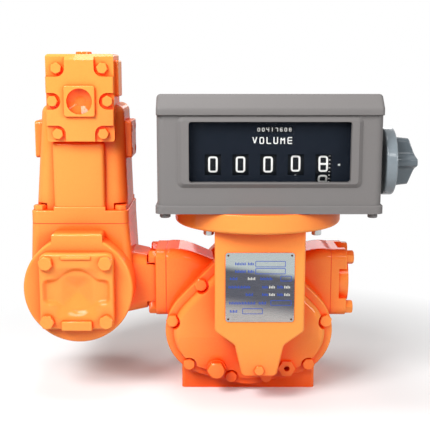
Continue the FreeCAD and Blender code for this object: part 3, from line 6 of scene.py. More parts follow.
import bmesh
import bpy
import numpy as np
from bpy.props import FloatProperty, FloatVectorProperty, PointerProperty, StringProperty
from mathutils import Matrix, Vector


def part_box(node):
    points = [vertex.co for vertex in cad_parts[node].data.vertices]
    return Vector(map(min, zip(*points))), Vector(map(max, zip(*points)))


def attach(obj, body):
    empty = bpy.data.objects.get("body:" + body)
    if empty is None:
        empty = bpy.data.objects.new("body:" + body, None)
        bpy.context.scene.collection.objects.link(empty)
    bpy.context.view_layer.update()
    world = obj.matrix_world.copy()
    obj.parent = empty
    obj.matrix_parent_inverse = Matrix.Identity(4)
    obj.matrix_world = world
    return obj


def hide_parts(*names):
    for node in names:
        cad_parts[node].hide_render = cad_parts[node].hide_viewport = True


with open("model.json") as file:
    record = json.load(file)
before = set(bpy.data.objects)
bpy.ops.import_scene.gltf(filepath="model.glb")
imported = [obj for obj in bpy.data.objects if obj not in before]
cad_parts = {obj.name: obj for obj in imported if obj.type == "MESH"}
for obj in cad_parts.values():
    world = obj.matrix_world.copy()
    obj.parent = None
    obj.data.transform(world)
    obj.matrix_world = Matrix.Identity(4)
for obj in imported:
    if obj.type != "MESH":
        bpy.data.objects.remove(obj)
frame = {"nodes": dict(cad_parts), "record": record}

bl_info = {
    "name": "Flow meter looks",
    "version": (1, 0, 0),
    "blender": (4, 5, 0),
    "location": "3D View > Sidebar > Flow meter",
    "description": "Finishes and small visible detail of a flow meter with strainer, air eliminator and counter",
    "category": "Object",
}

MILLIMETRE = 0.001
FULL_TURN = 2 * math.pi
QUARTER_TURN = math.pi / 2
X, Y, Z = range(3)
# Corners of a square of side two, which half sizes stretch to a rectangle
SQUARE = np.array([[-1, -1], [-1, 1], [1, 1], [1, -1]])
# Points of a CAD mesh are told apart to a micrometre
POINT_DECIMALS = 6
TOUCHING = 1e-6
# Numbers of a colour Mix node's sockets, whose names are shared with those for plain values
MIX_SHARE, MIX_FROM, MIX_TO, MIXED = 0, 6, 7, 2

WHEEL_BODIES = ("first_wheel", "second_wheel", "third_wheel", "fourth_wheel", "fifth_wheel")
# How far each large wheel's figure stands above the middle of the wheel
WHEEL_LIFTS = (0, 0, 0, 1.0 * MILLIMETRE, 0.7 * MILLIMETRE)
FIGURES_ROUND_A_WHEEL = 10
TICKS_TO_A_FIGURE = 5
PIPE_PORTS = ("inlet_port", "outlet_port")
# Eleven threads to the inch, as 1 1/2 in pipe has
PIPE_PITCH = 2.309 * MILLIMETRE

# Bolted joints whose hexagon heads are drawn anew, with the axis each set of bolts lies along
BOLT_SETS = {
    "cover_bolts": Y,
    "port_bolts": X,
    "strainer_cover_bolts": Y,
    "eliminator_bolts": Z,
    "head_bolts": Y,
    "adapter_bolts": Z,
    "counter_screws": Z,
    "side_cover_screws": X,
    "dust_cover_screw": Y,
    "drain_plug": Y,
}

# Bare metals by material slot: the finish's name, dark and light tone, least and greatest roughness, width and height
# of the grain in millimetres, and its stretch. Turning and rolling marks are drawn coarser than real ones, so that they
# show.
METALS = {
    # Sand-cast aluminium, machined where it runs: pale grey with turning marks drawn out along the axis
    "rotor_alloy": ("machined_aluminium", "#A9ACAE", "#D2D4D5", (0.28, 0.42), 0.9, 0.01, (1, 0.06, 1)),
    # Cut gear steel with a film of oil: darker, smoother
    "gear_steel": ("oiled_cut_steel", "#74777A", "#9A9DA0", (0.22, 0.36), 1.2, 0.008, (1, 1, 1)),
    # Cast bearing bronze, turned: a warm brown with a soft shine
    "bush_bronze": ("turned_bronze", "#8E6A36", "#B68C4E", (0.26, 0.4), 1.0, 0.01, (1, 1, 1)),
    # Zinc-plated steel: light grey with cloudy plating spots
    "zinc_steel": ("zinc_plated_steel", "#A2A7A8", "#D4D8D8", (0.24, 0.42), 2.5, 0.006, (1, 1, 1)),
    # Rolled stainless sheet: fine lines from rolling
    "stainless": ("rolled_stainless", "#8F9294", "#BEC1C2", (0.24, 0.38), 0.8, 0.006, (1, 1, 0.05)),
}

# Strokes of each sign on a grid of half widths (first figure) and quarter heights (second figure)
STROKES = {
    "0": "00 04 24 20 00",
    "1": "10 14",
    "2": "04 24 22 02 00 20",
    "3": "04 24 20 00, 02 22",
    "4": "04 02 22, 24 20",
    "5": "24 04 02 22 20 00",
    "6": "24 04 00 20 22 02",
    "7": "04 24 20",
    "8": "00 04 24 20 00, 02 22",
    "9": "22 02 04 24 20 00",
    "V": "04 10 24",
    "O": "00 04 24 20 00",
    "L": "04 00 20",
    "U": "04 00 20 24",
    "M": "00 04 12 24 20",
    "E": "24 04 00 20, 02 22",
}

# Boxes of the nameplate's print: left, right, bottom and top as shares of the plate
PLATE_BOXES = (
    (0.436, 0.865, 0.80, 0.88),
    (0.436, 0.865, 0.70, 0.777),
    (0.80, 0.955, 0.597, 0.667),
    (0.66, 0.955, 0.245, 0.314),
    (0.25, 0.54, 0.12, 0.195),
)
# Places for words on the plate, and for etched marks: left, right and level as shares of the plate
PLATE_WORDS = (
    (0.135, 0.29, 0.843),
    (0.32, 0.40, 0.843),
    (0.135, 0.29, 0.736),
    (0.32, 0.40, 0.736),
    (0.06, 0.18, 0.63),
    (0.50, 0.69, 0.63),
    (0.04, 0.35, 0.51),
    (0.53, 0.61, 0.51),
    (0.75, 0.83, 0.51),
    (0.29, 0.40, 0.40),
    (0.53, 0.61, 0.40),
    (0.75, 0.83, 0.40),
    (0.05, 0.43, 0.277),
    (0.48, 0.59, 0.277),
    (0.06, 0.18, 0.157),
)
PLATE_MARKS = (
    (0.32, 0.43, 0.63),
    (0.63, 0.73, 0.51),
    (0.85, 0.95, 0.51),
    (0.63, 0.73, 0.40),
    (0.85, 0.95, 0.40),
)

# Square studio lamps: place and side in metres, and watts
LAMPS = {
    "key_softbox": ((-0.6, -0.75, 0.95), 0.45, 13.0),
    "top_softbox": ((-0.15, 0.0, 1.5), 0.45, 6.5),
    "right_softbox": ((1.1, -1.0, 0.6), 0.5, 9.0),
    "front_card": ((-0.42, -1.15, 0.8), 0.32, 4.0),
    "back_softbox": ((0.2, 1.3, 0.7), 0.6, 4.0),
    "right_card": ((0.38, -1.1, 0.8), 0.2, 1.0),
}
# The point of the object that all lamps face
LAMP_AIM = Vector((-0.03, -0.03, 0.18))
# Width of the camera's sensor in millimetres
SENSOR_WIDTH = 36
# Half the side of the floor, and the distances from the object between which it fades to plain white, in metres
FLOOR_REACH = 8.0
FLOOR_FADE = (0.24, 0.46)


def linear(code):
    """An sRGB hex colour as linear red, green and blue, with a full alpha."""
    channels = [int(code[k : k + 2], 16) / 255 for k in (1, 3, 5)]
    return [c / 12.92 if c <= 0.04045 else ((c + 0.055) / 1.055) ** 2.4 for c in channels] + [1.0]


def colour(name, description, code):
    """A colour that a user may change, given as sRGB hex."""
    return FloatVectorProperty(
        name=name, description=description, subtype="COLOR", size=4, min=0, max=1, default=linear(code)
    )


def length(name, description, millimetres):
    """A length that a user may change, given in millimetres."""
    return FloatProperty(
        name=name, description=description, unit="LENGTH", precision=5, min=0, default=millimetres * MILLIMETRE
    )


class CastingSettings(bpy.types.PropertyGroup):
    """Gloss enamel on the iron castings"""

    orange: colour("Orange", "Enamel in the open", "#FF9846")
    # Painted shade: corners and recesses of the castings take this deeper orange, standing in for the shade there. The
    # gasket seams' tones are also drawn from it.
    deep_orange: colour("Deep orange", "Enamel lying thick in corners", "#FC4A0C")
    grain: length("Casting grain", "Width of the casting's grains under the enamel", 1.6)
    grain_height: length("Grain height", "Height of those grains", 0.05)
    peel: length("Orange peel", "Width of the ripples on top of the enamel", 4.0)
    peel_height: length("Ripple height", "Height of those ripples", 0.012)
    cover_plate: length("Cover plate", "Thickness of the strainer's cover", 11.0)
    dish_depth: length("Dish depth", "Depth of the dish in the strainer's cover", 10.4)
    dish_radius: length("Dish radius", "Radius of the round middle of that dish", 28.0)
    dish_tip: length("Dish tip", "How round the bottom of that dish is", 8.0)
    # How far from a corner the painted shade reaches
    corner_reach: length("Corner reach", "How far from a corner the enamel gets deeper in tone", 80.0)


class CounterSettings(bpy.types.PropertyGroup):
    """Counter case, knob, face and figures"""

    case: colour("Case", "Satin enamel of the case and lid", "#777473")
    lid_lip: length("Lid lip", "Height of the lid's upright lip", 7.2)
    lid_slope: length("Lid slope", "How far the lid's front and back lean in", 13.0)
    lid_ridge: length("Lid ridge", "How far the lid's front edge stands above its plain height", 4.2)
    lid_fall: length("Lid fall", "How far the lid's back edge lies below that height", 1.0)
    lid_round: length("Lid round", "Radius of the edges at the lid's two ends", 4.5)
    # The disc and the grip are one casting in one enamel; the disc's lighter tone and the grip's darker tone are
    # painted light and shade
    knob: colour("Knob", "Enamel of the reset knob's disc", "#7C858B")
    grip: colour("Grip", "Enamel of the reset knob's grip", "#586167")
    disc: length("Disc", "Thickness of the reset knob's disc", 12.0)
    grip_half: length("Grip half", "Half the length of the bar grip across the knob", 27.0)
    grip_side: length("Grip side", "How far the grip's ends run out before they slope to the nose", 17.0)
    nose_half: length("Nose half", "Half the width of the nose and of the rib that leads to it", 4.2)
    rib_reach: length("Rib reach", "How far the rib stands out from the knob's axis", 16.0)
    bar_half: length("Bar half", "Half the thickness of the bar beside the rib", 8.0)
    face: colour("Face", "Painted plate behind the glass", "#131A25")
    wheel: colour("Wheel", "Moulded rim of the number wheels", "#0E1116")
    figure: colour("Figure", "Printed figures", "#FFFFFC")
    figure_height: length("Figure height", "Height of a large figure over its strokes", 17.2)
    figure_width: length("Figure width", "Width of a large figure over its strokes", 10.0)
    stroke: length("Stroke", "Stroke width of a large figure", 2.0)
    ink: length("Ink", "Thickness of the printed ink", 0.12)
    reading: StringProperty(name="Reading", description="Figures shown by the large wheels", default="00008")
    total: StringProperty(name="Total", description="Figures shown by the totalizer", default="00417608")
    unit: StringProperty(name="Word", description="Word under the totalizer", default="VOLUME")


class PlateSettings(bpy.types.PropertyGroup):
    """Nameplate with its print and rivets"""

    print_blue: colour("Print", "Ink of the boxes and word places", "#1F46A8")
    line: length("Line", "Width of the printed box lines", 0.65)
    rivet: length("Rivet", "Radius of a rivet's head", 1.15)
    rivet_inset: length("Rivet inset", "Distance of a rivet from the plate's edges", 3.0)


class StageSettings(bpy.types.PropertyGroup):
    """Floor, lamps and camera"""

    floor: colour("Floor", "Paint of the floor", "#F4F4F4")
    floor_bounce: colour("Floor bounce", "Tone of the floor for the light that it throws back", "#B0B0B0")
    camera_place: FloatVectorProperty(
        name="Camera",
        description="Place of the camera",
        subtype="XYZ",
        unit="LENGTH",
        default=(-0.0386, -0.9876, 0.3694),
    )
    camera_tilt: FloatProperty(
        name="Tilt", description="Downward tilt of the camera", subtype="ANGLE", default=math.radians(9.9)
    )
    lens: FloatProperty(name="Lens", description="Focal length", unit="CAMERA", min=1, default=71.16)


def settings():
    """The scene's groups of settings."""
    return bpy.context.scene.flow_meter


def node(tree, kind, values=None, links=None, **choices):
    """Adds one shader node: its choices, the values of its sockets and the sockets that feed it."""
    added = tree.nodes.new(kind)
    for choice, value in choices.items():
        setattr(added, choice, value)
    for socket, value in (values or {}).items():
        added.inputs[socket].default_value = value
    for socket, source in (links or {}).items():
        tree.links.new(source, added.inputs[socket])
    return added


def tones(base, dark, light):
    """A darker and a lighter tone of a colour, as shares of its red, green and blue."""
    return [[min(1.0, channel * share) for channel in base[:3]] + [1.0] for share in (dark, light)]


def finish(name, dark, light, rough, grain, relief, sockets=None, stretch=(1, 1, 1)):
    """A finish led by one noise: tone, roughness and relief all follow it.

    rough holds the least and the greatest roughness. grain is the width of the noise's spots and relief their height,
    both in metres. stretch below 1 draws the spots out along that axis.
    """
    octaves = 3.0
    smoothest, roughest = rough
    made = bpy.data.materials.new(name)
    made.use_nodes = True
    tree = made.node_tree
    tree.nodes.clear()
    place = node(tree, "ShaderNodeTexCoord")
    drawn = node(tree, "ShaderNodeMapping", {"Scale": stretch}, {"Vector": place.outputs["Object"]})
    spots = node(
        tree, "ShaderNodeTexNoise", {"Scale": 1 / grain, "Detail": octaves}, {"Vector": drawn.outputs["Vector"]}
    )
    tone = node(
        tree, "ShaderNodeMix", {MIX_FROM: dark, MIX_TO: light}, {MIX_SHARE: spots.outputs["Fac"]}, data_type="RGBA"
    )
    sheen = node(
        tree, "ShaderNodeMapRange", {"To Min": smoothest, "To Max": roughest}, {"Value": spots.outputs["Fac"]}
    )
    bump = node(tree, "ShaderNodeBump", {"Distance": relief}, {"Height": spots.outputs["Fac"]})
    shader = node(
        tree,
        "ShaderNodeBsdfPrincipled",
        sockets,
        {
            "Base Color": tone.outputs[MIXED],
            "Roughness": sheen.outputs["Result"],
            "Normal": bump.outputs["Normal"],
        },
    )
    node(tree, "ShaderNodeOutputMaterial", None, {"Surface": shader.outputs["BSDF"]})
    return made


def add_enamel_depth(made, deep, reach, peel, peel_height):
    """Adds to a finish painted shade, a deeper tone in corners and recesses where light is shut out, and ripples in its
    clear top.

    The painted shade is full where a point is open by the first share or less, and none from the second share on.
    """
    shut, opened = 0.32, 0.95
    rays, octaves = 8, 1.0
    tree = made.node_tree
    shader = tree.nodes["Principled BSDF"]
    tone = shader.inputs["Base Color"].links[0].from_socket
    # Painted shade: occluded points take the deeper tone given as deep
    openness = node(tree, "ShaderNodeAmbientOcclusion", {"Distance": reach}, samples=rays)
    share = node(
        tree, "ShaderNodeMapRange", {"From Min": shut, "From Max": opened}, {"Value": openness.outputs["AO"]}
    )
    mixed = node(
        tree, "ShaderNodeMix", {MIX_FROM: deep}, {MIX_SHARE: share.outputs["Result"], MIX_TO: tone}, data_type="RGBA"
    )
    tree.links.new(mixed.outputs[MIXED], shader.inputs["Base Color"])
    place = node(tree, "ShaderNodeTexCoord")
    ripples = node(
        tree, "ShaderNodeTexNoise", {"Scale": 1 / peel, "Detail": octaves}, {"Vector": place.outputs["Object"]}
    )
    top = node(tree, "ShaderNodeBump", {"Distance": peel_height}, {"Height": ripples.outputs["Fac"]})
    tree.links.new(top.outputs["Normal"], shader.inputs["Coat Normal"])


def add_band(made, tone, direction, start, stop):
    """Shifts a finish towards another tone along a direction, from none at the start to most of it at the stop."""
    most = 0.9
    tree = made.node_tree
    shader = tree.nodes["Principled BSDF"]
    under = shader.inputs["Base Color"].links[0].from_socket
    place = node(tree, "ShaderNodeTexCoord")
    along = node(
        tree, "ShaderNodeVectorMath", {1: direction}, {0: place.outputs["Object"]}, operation="DOT_PRODUCT"
    )
    share = node(
        tree,
        "ShaderNodeMapRange",
        {"From Min": start, "From Max": stop, "To Max": most},
        {"Value": along.outputs["Value"]},
        interpolation_type="SMOOTHSTEP",
    )
    mixed = node(
        tree, "ShaderNodeMix", {MIX_TO: tone}, {MIX_SHARE: share.outputs["Result"], MIX_FROM: under}, data_type="RGBA"
    )
    tree.links.new(mixed.outputs[MIXED], shader.inputs["Base Color"])


def dress(slot, made):
    """Gives a finish to every CAD node of a material slot."""
    for part in frame["record"]["subparts"]:
        if part["material_slot"] == slot:
            mesh = frame["nodes"][part["node"]].data
            mesh.materials.clear()
            mesh.materials.append(made)


def tube(grid, closed):
    """Points of a sleeve, and its faces as arrays of point numbers.

    Each row of the grid is a closed profile. Rows are joined to the next one by four-sided faces, and the last row is
    joined to the first where the sleeve is closed, or both ends get a flat cap.
    """
    rows, columns = grid.shape[:2]
    index = np.arange(rows * columns).reshape(rows, columns)
    if closed:
        index = np.vstack([index, index[:1]])
    beside = np.roll(index, -1, axis=1)
    faces = [np.stack([index[:-1], beside[:-1], beside[1:], index[1:]], axis=-1).reshape(-1, 4)]
    if not closed:
        faces.append(np.stack([index[0][::-1], index[-1]]))
    return grid.reshape(-1, 3), faces


def make_piece(name, sleeves, made, body, crease=40):
    """One piece of the object from its sleeves, faces outwards, riding on a body.

    Edges that turn by more than the crease, in degrees, stay sharp.
    """
    starts = np.cumsum([0] + [len(points) for points, _ in sleeves])
    points = np.vstack([points for points, _ in sleeves])
    blocks = [block + start for start, (_, faces) in zip(starts, sleeves) for block in faces]
    faces = [face for block in blocks for face in block.tolist()]
    mesh = bpy.data.meshes.new(name)
    mesh.from_pydata(points.tolist(), [], faces)
    shell = bmesh.new()
    shell.from_mesh(mesh)
    bmesh.ops.recalc_face_normals(shell, faces=shell.faces)
    shell.to_mesh(mesh)
    shell.free()
    mesh.shade_smooth()
    mesh.set_sharp_from_angle(angle=math.radians(crease))
    mesh.materials.append(made)
    piece = bpy.data.objects.new(name, mesh)
    bpy.context.scene.collection.objects.link(piece)
    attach(piece, body)
    return piece


def islands(mesh):
    """The separate solids of a CAD mesh, each as an array of its points.

    Corners at one place get one number. Every triangle then hands the lowest label among its corners to all three,
    until no label changes.
    """
    corners = np.empty(len(mesh.vertices) * 3)
    mesh.vertices.foreach_get("co", corners)
    points, number = np.unique(np.round(corners.reshape(-1, 3), POINT_DECIMALS), axis=0, return_inverse=True)
    triangles = np.empty(len(mesh.loops), dtype=int)
    mesh.loops.foreach_get("vertex_index", triangles)
    triangles = number.ravel()[triangles].reshape(-1, 3)
    label = np.arange(len(points))
    before = None
    while before is None or (label != before).any():
        before = label.copy()
        np.minimum.at(label, triangles, label[triangles].min(axis=1)[:, None])
    return [points[label == one] for one in np.unique(label)]


def hexagon_bolt(points, axis, turn):
    """A bolt with a chamfered hexagon head, sized and placed by the points of its CAD solid.

    The profile runs from the shank's end up to the head's top. Round the axis the head's radius is half the width
    over flats divided by the cosine of the angle from the nearest flat, and a 30 degree cone cuts its top edge.
    """
    steps_round = 36
    sixth = FULL_TURN / 6
    # Points beyond the first share of the corners' radius belong to the head; the cone ends at the second share
    head_share, cone_share = 0.95, 0.93
    # Edges are eased over one bead, the one under the cone by two points
    bead = 0.5 * MILLIMETRE
    edge_in, edge_up = 0.25 * bead, 0.35 * bead
    across = [k for k in range(3) if k != axis]
    middle = (points[:, across].min(axis=0) + points[:, across].max(axis=0)) / 2
    reach = np.hypot(*(points[:, across] - middle).T)
    corner = reach.max()
    along = points[:, axis]
    head = along[reach > head_share * corner]
    outward = 1 if along.max() - head.max() < TOUCHING else -1
    seat, end = (head.min(), along.min()) if outward > 0 else (head.max(), along.max())
    height = head.max() - head.min()
    depth = abs(end - seat)
    shank = reach[np.abs(along - end) < TOUCHING].max()
    angle = np.linspace(0, FULL_TURN, steps_round, endpoint=False)
    half_flats = corner * math.cos(sixth / 2)
    hexagon = half_flats / np.cos((angle + turn) % sixth - sixth / 2)
    cone_start = cone_share * half_flats
    cut = height - (hexagon - cone_start) * math.tan(sixth / 2)
    one = np.ones_like(angle)
    profile = [
        (one * (shank - bead), one * -depth),
        (one * shank, one * (bead - depth)),
        (one * shank, one * 0),
        (hexagon, one * 0),
        (hexagon, one * bead),
        (hexagon, cut - bead),
        (hexagon - edge_in, cut - edge_in),
        (hexagon - bead, cut + edge_up),
        (one * cone_start, one * height),
    ]
    radius = np.array([row[0] for row in profile])
    level = np.array([row[1] for row in profile])
    grid = np.empty(radius.shape + (3,))
    grid[..., across[0]] = middle[0] + radius * np.cos(angle)
    grid[..., across[1]] = middle[1] + radius * np.sin(angle)
    grid[..., axis] = seat + outward * level
    return tube(grid, False)


def rounded_path(corners, closed, radius, step):
    """A path with its corners rounded, as points at even steps.

    Each corner becomes a quadratic curve that starts and ends one radius before and after it, and the points are then
    spread evenly along the length.
    """
    side_share, corner_points = 0.45, 9
    before = np.roll(corners, 1, axis=0) - corners
    after = np.roll(corners, -1, axis=0) - corners
    reach_before = np.hypot(*before.T)[:, None]
    reach_after = np.hypot(*after.T)[:, None]
    start = corners + before / reach_before * np.minimum(radius, side_share * reach_before)
    stop = corners + after / reach_after * np.minimum(radius, side_share * reach_after)
    share = np.linspace(0, 1, corner_points)[None, :, None]
    curves = (1 - share) ** 2 * start[:, None] + 2 * share * (1 - share) * corners[:, None] + share**2 * stop[:, None]
    if closed:
        path = np.vstack([curves.reshape(-1, 2), curves[0, :1]])
    else:
        path = np.vstack([corners[:1], curves[1:-1].reshape(-1, 2), corners[-1:]])
    run = np.concatenate([[0], np.cumsum(np.hypot(*np.diff(path, axis=0).T))])
    count = max(2, round(run[-1] / step) + 1)
    places = np.linspace(0, run[-1], count)[: count - 1 if closed else count]
    return np.column_stack([np.interp(places, run, path[:, 0]), np.interp(places, run, path[:, 1])])


def ribbon(path, closed, half, thickness):
    """A flat ribbon along a path, as rows of across, up and out-of-plane places.

    The profile is a rectangle whose corners lie half a stroke to each side of the path, along the normal that comes
    from the neighbours' difference.
    """
    if closed:
        run = np.roll(path, -1, axis=0) - np.roll(path, 1, axis=0)
    else:
        run = np.gradient(path, axis=0)
    run = run / np.hypot(*run.T)[:, None]
    normal = np.column_stack([-run[:, 1], run[:, 0]]) * half
    left = path + normal
    right = path - normal
    flat = np.stack([left, left, right, right], axis=1)
    out = np.broadcast_to(np.array([0, thickness, thickness, 0])[None, :, None], flat.shape[:2] + (1,))
    return np.concatenate([flat, out], axis=2)


def sign(letter, width, height, stroke, thickness, onto):
    """The ribbons of one figure or letter, centred, with every point put in place by a function.

    A stroke that is open runs on by one step at both ends, which makes up for half its width.
    """
    corner_share = 0.22
    sleeves = []
    for line in STROKES[letter].split(","):
        grid = np.array([[int(across) / 2, int(up) / 4] for across, up in line.split()]) - 0.5
        corners = grid * (width - stroke, height - stroke)
        closed = bool((corners[0] == corners[-1]).all())
        path = rounded_path(corners[:-1] if closed else corners, closed, corner_share * width, stroke / 2)
        if not closed:
            path[[0, -1]] += path[[0, -1]] - path[[1, -2]]
        sleeves.append(tube(onto(ribbon(path, closed, stroke / 2, thickness)), closed))
    return sleeves


def round_wheel(middle, radius, angle):
    """A function that wraps flat places round a wheel with its axle along X.

    The up place divided by the radius is added to the angle above the front, and the out-of-plane place to the radius.
    """

    def onto(flat):
        turned = angle + flat[..., 1] / radius
        out = radius + flat[..., 2]
        return np.stack(
            [middle[0] + flat[..., 0], middle[1] - out * np.cos(turned), middle[2] + out * np.sin(turned)], axis=-1
        )

    return onto


def on_front(middle):
    """A function that lays flat places on an upright plate that faces the front."""

    def onto(flat):
        return np.stack([middle[0] + flat[..., 0], middle[1] - flat[..., 2], middle[2] + flat[..., 1]], axis=-1)

    return onto


def wheel_figures(middle, radius, shown, lift, size, thickness):
    """The figures 0 to 9 round a wheel, the next one below the one before, with one of them at the front."""
    width, height, stroke = size
    sleeves = []
    for figure in range(FIGURES_ROUND_A_WHEEL):
        angle = (shown - figure) * FULL_TURN / FIGURES_ROUND_A_WHEEL + lift / radius
        sleeves += sign(str(figure), width, height, stroke, thickness, round_wheel(middle, radius, angle))
    return sleeves


class FLOWMETER_OT_paint_castings(bpy.types.Operator):
    """Gloss orange enamel on the castings and over the edges of their gaskets"""

    bl_idname = "flow_meter.paint_castings"
    bl_label = "Paint castings"

    def execute(self, context):
        look = settings().casting
        # Sprayed gloss enamel on cast iron: soft grains show through, and the clear top ripples like orange peel. Only
        # the clear top mirrors, so the base's own reflection is off.
        orange = finish(
            "gloss_enamel_with_painted_shade",
            *tones(look.orange, dark=0.93, light=1.07),
            rough=(0.32, 0.46),
            grain=look.grain,
            relief=look.grain_height,
            sockets={
                "IOR": 1.5,
                "Specular IOR Level": 0.0,
                "Coat Weight": 0.32,
                "Coat Roughness": 0.05,
                "Coat IOR": 1.6,
            },
        )
        # Painted shade: the deeper orange in corners and recesses stands in for the shade that falls there
        add_enamel_depth(orange, look.deep_orange, look.corner_reach, look.peel, look.peel_height)
        dress("orange_paint", orange)
        # Fibre gasket under the same enamel: a duller, darker seam between the castings
        seam = finish(
            "enamelled_gasket_edge",
            *tones(look.deep_orange, dark=0.75, light=0.95),
            rough=(0.5, 0.7),
            grain=look.grain,
            relief=look.grain_height,
        )
        dress("gasket_fibre", seam)
        return {"FINISHED"}


class FLOWMETER_OT_cast_cover(bpy.types.Operator):
    """Strainer cover with a smooth clover-shaped dish between its bolts"""

    bl_idname = "flow_meter.cast_cover"
    bl_label = "Cast strainer cover"

    def execute(self, context):
        look = settings().casting
        low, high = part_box("strainer_cover")
        half = np.array([high.x - low.x, high.z - low.z]) / 2
        front = high.y - look.cover_plate
        rise = front - low.y
        onto = on_front(((low.x + high.x) / 2, front, (low.z + high.z) / 2))
        # Halves of length, width and height: the lug below the dish, and the lip above it, which stands out less
        lug = np.array([17, 5.5, 5.5]) * MILLIMETRE
        lip = np.array([17, 2.2, 4.0]) * MILLIMETRE
        lip_rise = 0.4 * rise
        sleeves = [
            self.dished_plate(half, look, onto),
            self.bar((0, lug[1] - half[1], rise - lug[2]), lug, onto),
            self.bar((0, half[1] - 2 * lip[1], lip_rise - lip[2]), lip, onto),
        ]
        enamel = frame["nodes"]["strainer_cover"].data.materials[0]
        piece = make_piece("strainer_cover_casting", sleeves, enamel, "frame")
        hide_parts("strainer_cover")
        return {"FINISHED"}

    @staticmethod
    def dished_plate(half, look, onto):
        """The cover's plate as rings: its rounded outline shrunk towards the middle, and the back's outline last.

        The front sinks to the deeper of two forms, joined softly. One is a cone of slope one in two with a rounded
        tip, longer downwards, whose distance from the middle is the fourth root of the sum of fourth powers. The other
        is a shallow clover whose walls follow a smooth step of the gap to its outline, the soft minimum of the gaps to
        a circle and to a band across with rounded ends. At the rim the front falls along a quarter circle.
        """
        corner, edge, wall, soft, join, pitch = (size * MILLIMETRE for size in (10, 3, 6, 3, 1, 1.5))
        band_half, band_side, band_round = (size * MILLIMETRE for size in (31, 8, 7))
        clover_share, cone_slope, longer = 0.45, 0.5, 0.85
        rings = 100
        outline = rounded_path(SQUARE * half, True, corner, pitch)
        share = np.linspace(1 / rings, 1, rings)[:, None]
        across, up = share * outline[:, 0], share * outline[:, 1]
        beyond_end = np.abs(across) - band_half
        beyond_side = np.abs(up) - band_side
        band = np.hypot(np.maximum(beyond_end, 0), np.maximum(beyond_side, 0))
        band += np.minimum(np.maximum(beyond_end, beyond_side), 0) - band_round
        circle = np.hypot(across, up) - look.dish_radius
        step = np.clip(soft * np.logaddexp(-band / soft, -circle / soft) / wall, 0, 1)
        clover = clover_share * look.dish_depth * step**2 * (3 - 2 * step)
        reach = (across**4 + (np.where(up < 0, longer, 1) * up) ** 4) ** 0.25
        cone = look.dish_depth - cone_slope * (np.hypot(reach, look.dish_tip) - look.dish_tip)
        sink = (cone + clover + np.hypot(cone - clover, join)) / 2
        rim = np.clip(edge - (1 - share) * half.min(), 0, edge)
        front = np.stack([across, up, -sink - edge + np.sqrt(edge**2 - rim**2)], axis=-1)
        back = np.column_stack([outline, np.full(len(outline), -look.cover_plate)])
        return tube(onto(np.concatenate([front, back[None]])), False)

    @staticmethod
    def bar(middle, half, onto):
        """A bar across the plate: a rounded rectangle carried straight, shrunk at both ends by a quarter circle."""
        corner, pitch, end_steps = 1.8 * MILLIMETRE, 0.4 * MILLIMETRE, 6
        turn = np.linspace(0, QUARTER_TURN, end_steps)
        along = half[0] - corner * (1 - np.cos(turn))
        along = np.concatenate([-along, along[::-1]])
        inset = corner * (1 - np.sin(np.concatenate([turn, turn[::-1]])))
        profile = rounded_path(SQUARE * half[1:], True, corner, pitch)
        shrunk = profile[None] * (1 - inset[:, None, None] / half[1:])
        across = np.broadcast_to(along[:, None, None], shrunk.shape[:2] + (1,))
        return tube(onto(np.concatenate([across, shrunk], axis=2) + np.array(middle)), False)


class FLOWMETER_OT_finish_counter(bpy.types.Operator):
    """Satin grey case, blue-grey knob, dark face and black number wheels"""

    bl_idname = "flow_meter.finish_counter"
    bl_label = "Finish counter"

    def execute(self, context):
        look = settings().counter
        # Baked satin enamel on die-cast aluminium: a fine even spatter that blurs highlights, drawn coarser than the
        # real one so that it shows
        case = finish(
            "satin_enamel_on_aluminium",
            *tones(look.case, dark=0.94, light=1.06),
            rough=(0.44, 0.58),
            grain=1.1 * MILLIMETRE,
            relief=0.02 * MILLIMETRE,
            sockets={"IOR": 1.5, "Specular IOR Level": 0.0, "Coat Weight": 0.15, "Coat Roughness": 0.35},
        )
        dress("grey_paint", case)
        # Gloss enamel on the die-cast knob: bluish, with a clear top that draws bright lines along its edges
        knob = finish(
            "gloss_enamel_on_knob_with_painted_light",
            *tones(look.knob, dark=0.92, light=1.08),
            rough=(0.34, 0.48),
            grain=1.4 * MILLIMETRE,
            relief=0.02 * MILLIMETRE,
            sockets={"IOR": 1.5, "Specular IOR Level": 0.1, "Coat Weight": 0.8, "Coat Roughness": 0.14},
        )
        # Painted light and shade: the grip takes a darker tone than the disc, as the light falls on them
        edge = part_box("reset_knob")[0].x + look.disc
        add_band(knob, look.grip, (1, 0, 0), edge - MILLIMETRE, edge)
        dress("knob_grey", knob)
        # Stove-black lacquer on sheet metal: nearly matt, faintly blue
        face = finish(
            "matt_lacquer_on_sheet",
            *tones(look.face, dark=0.9, light=1.1),
            rough=(0.5, 0.65),
            grain=0.8 * MILLIMETRE,
            relief=0.008 * MILLIMETRE,
            sockets={"Specular IOR Level": 0.12},
        )
        dress("face_black", face)
        # Moulded acetal: black with a soft sheen and flow marks a few millimetres wide
        wheel = finish(
            "moulded_black_acetal",
            *tones(look.wheel, dark=0.85, light=1.15),
            rough=(0.42, 0.55),
            grain=5 * MILLIMETRE,
            relief=0.01 * MILLIMETRE,
            sockets={"Specular IOR Level": 0.2},
        )
        dress("wheel_black", wheel)
        return {"FINISHED"}


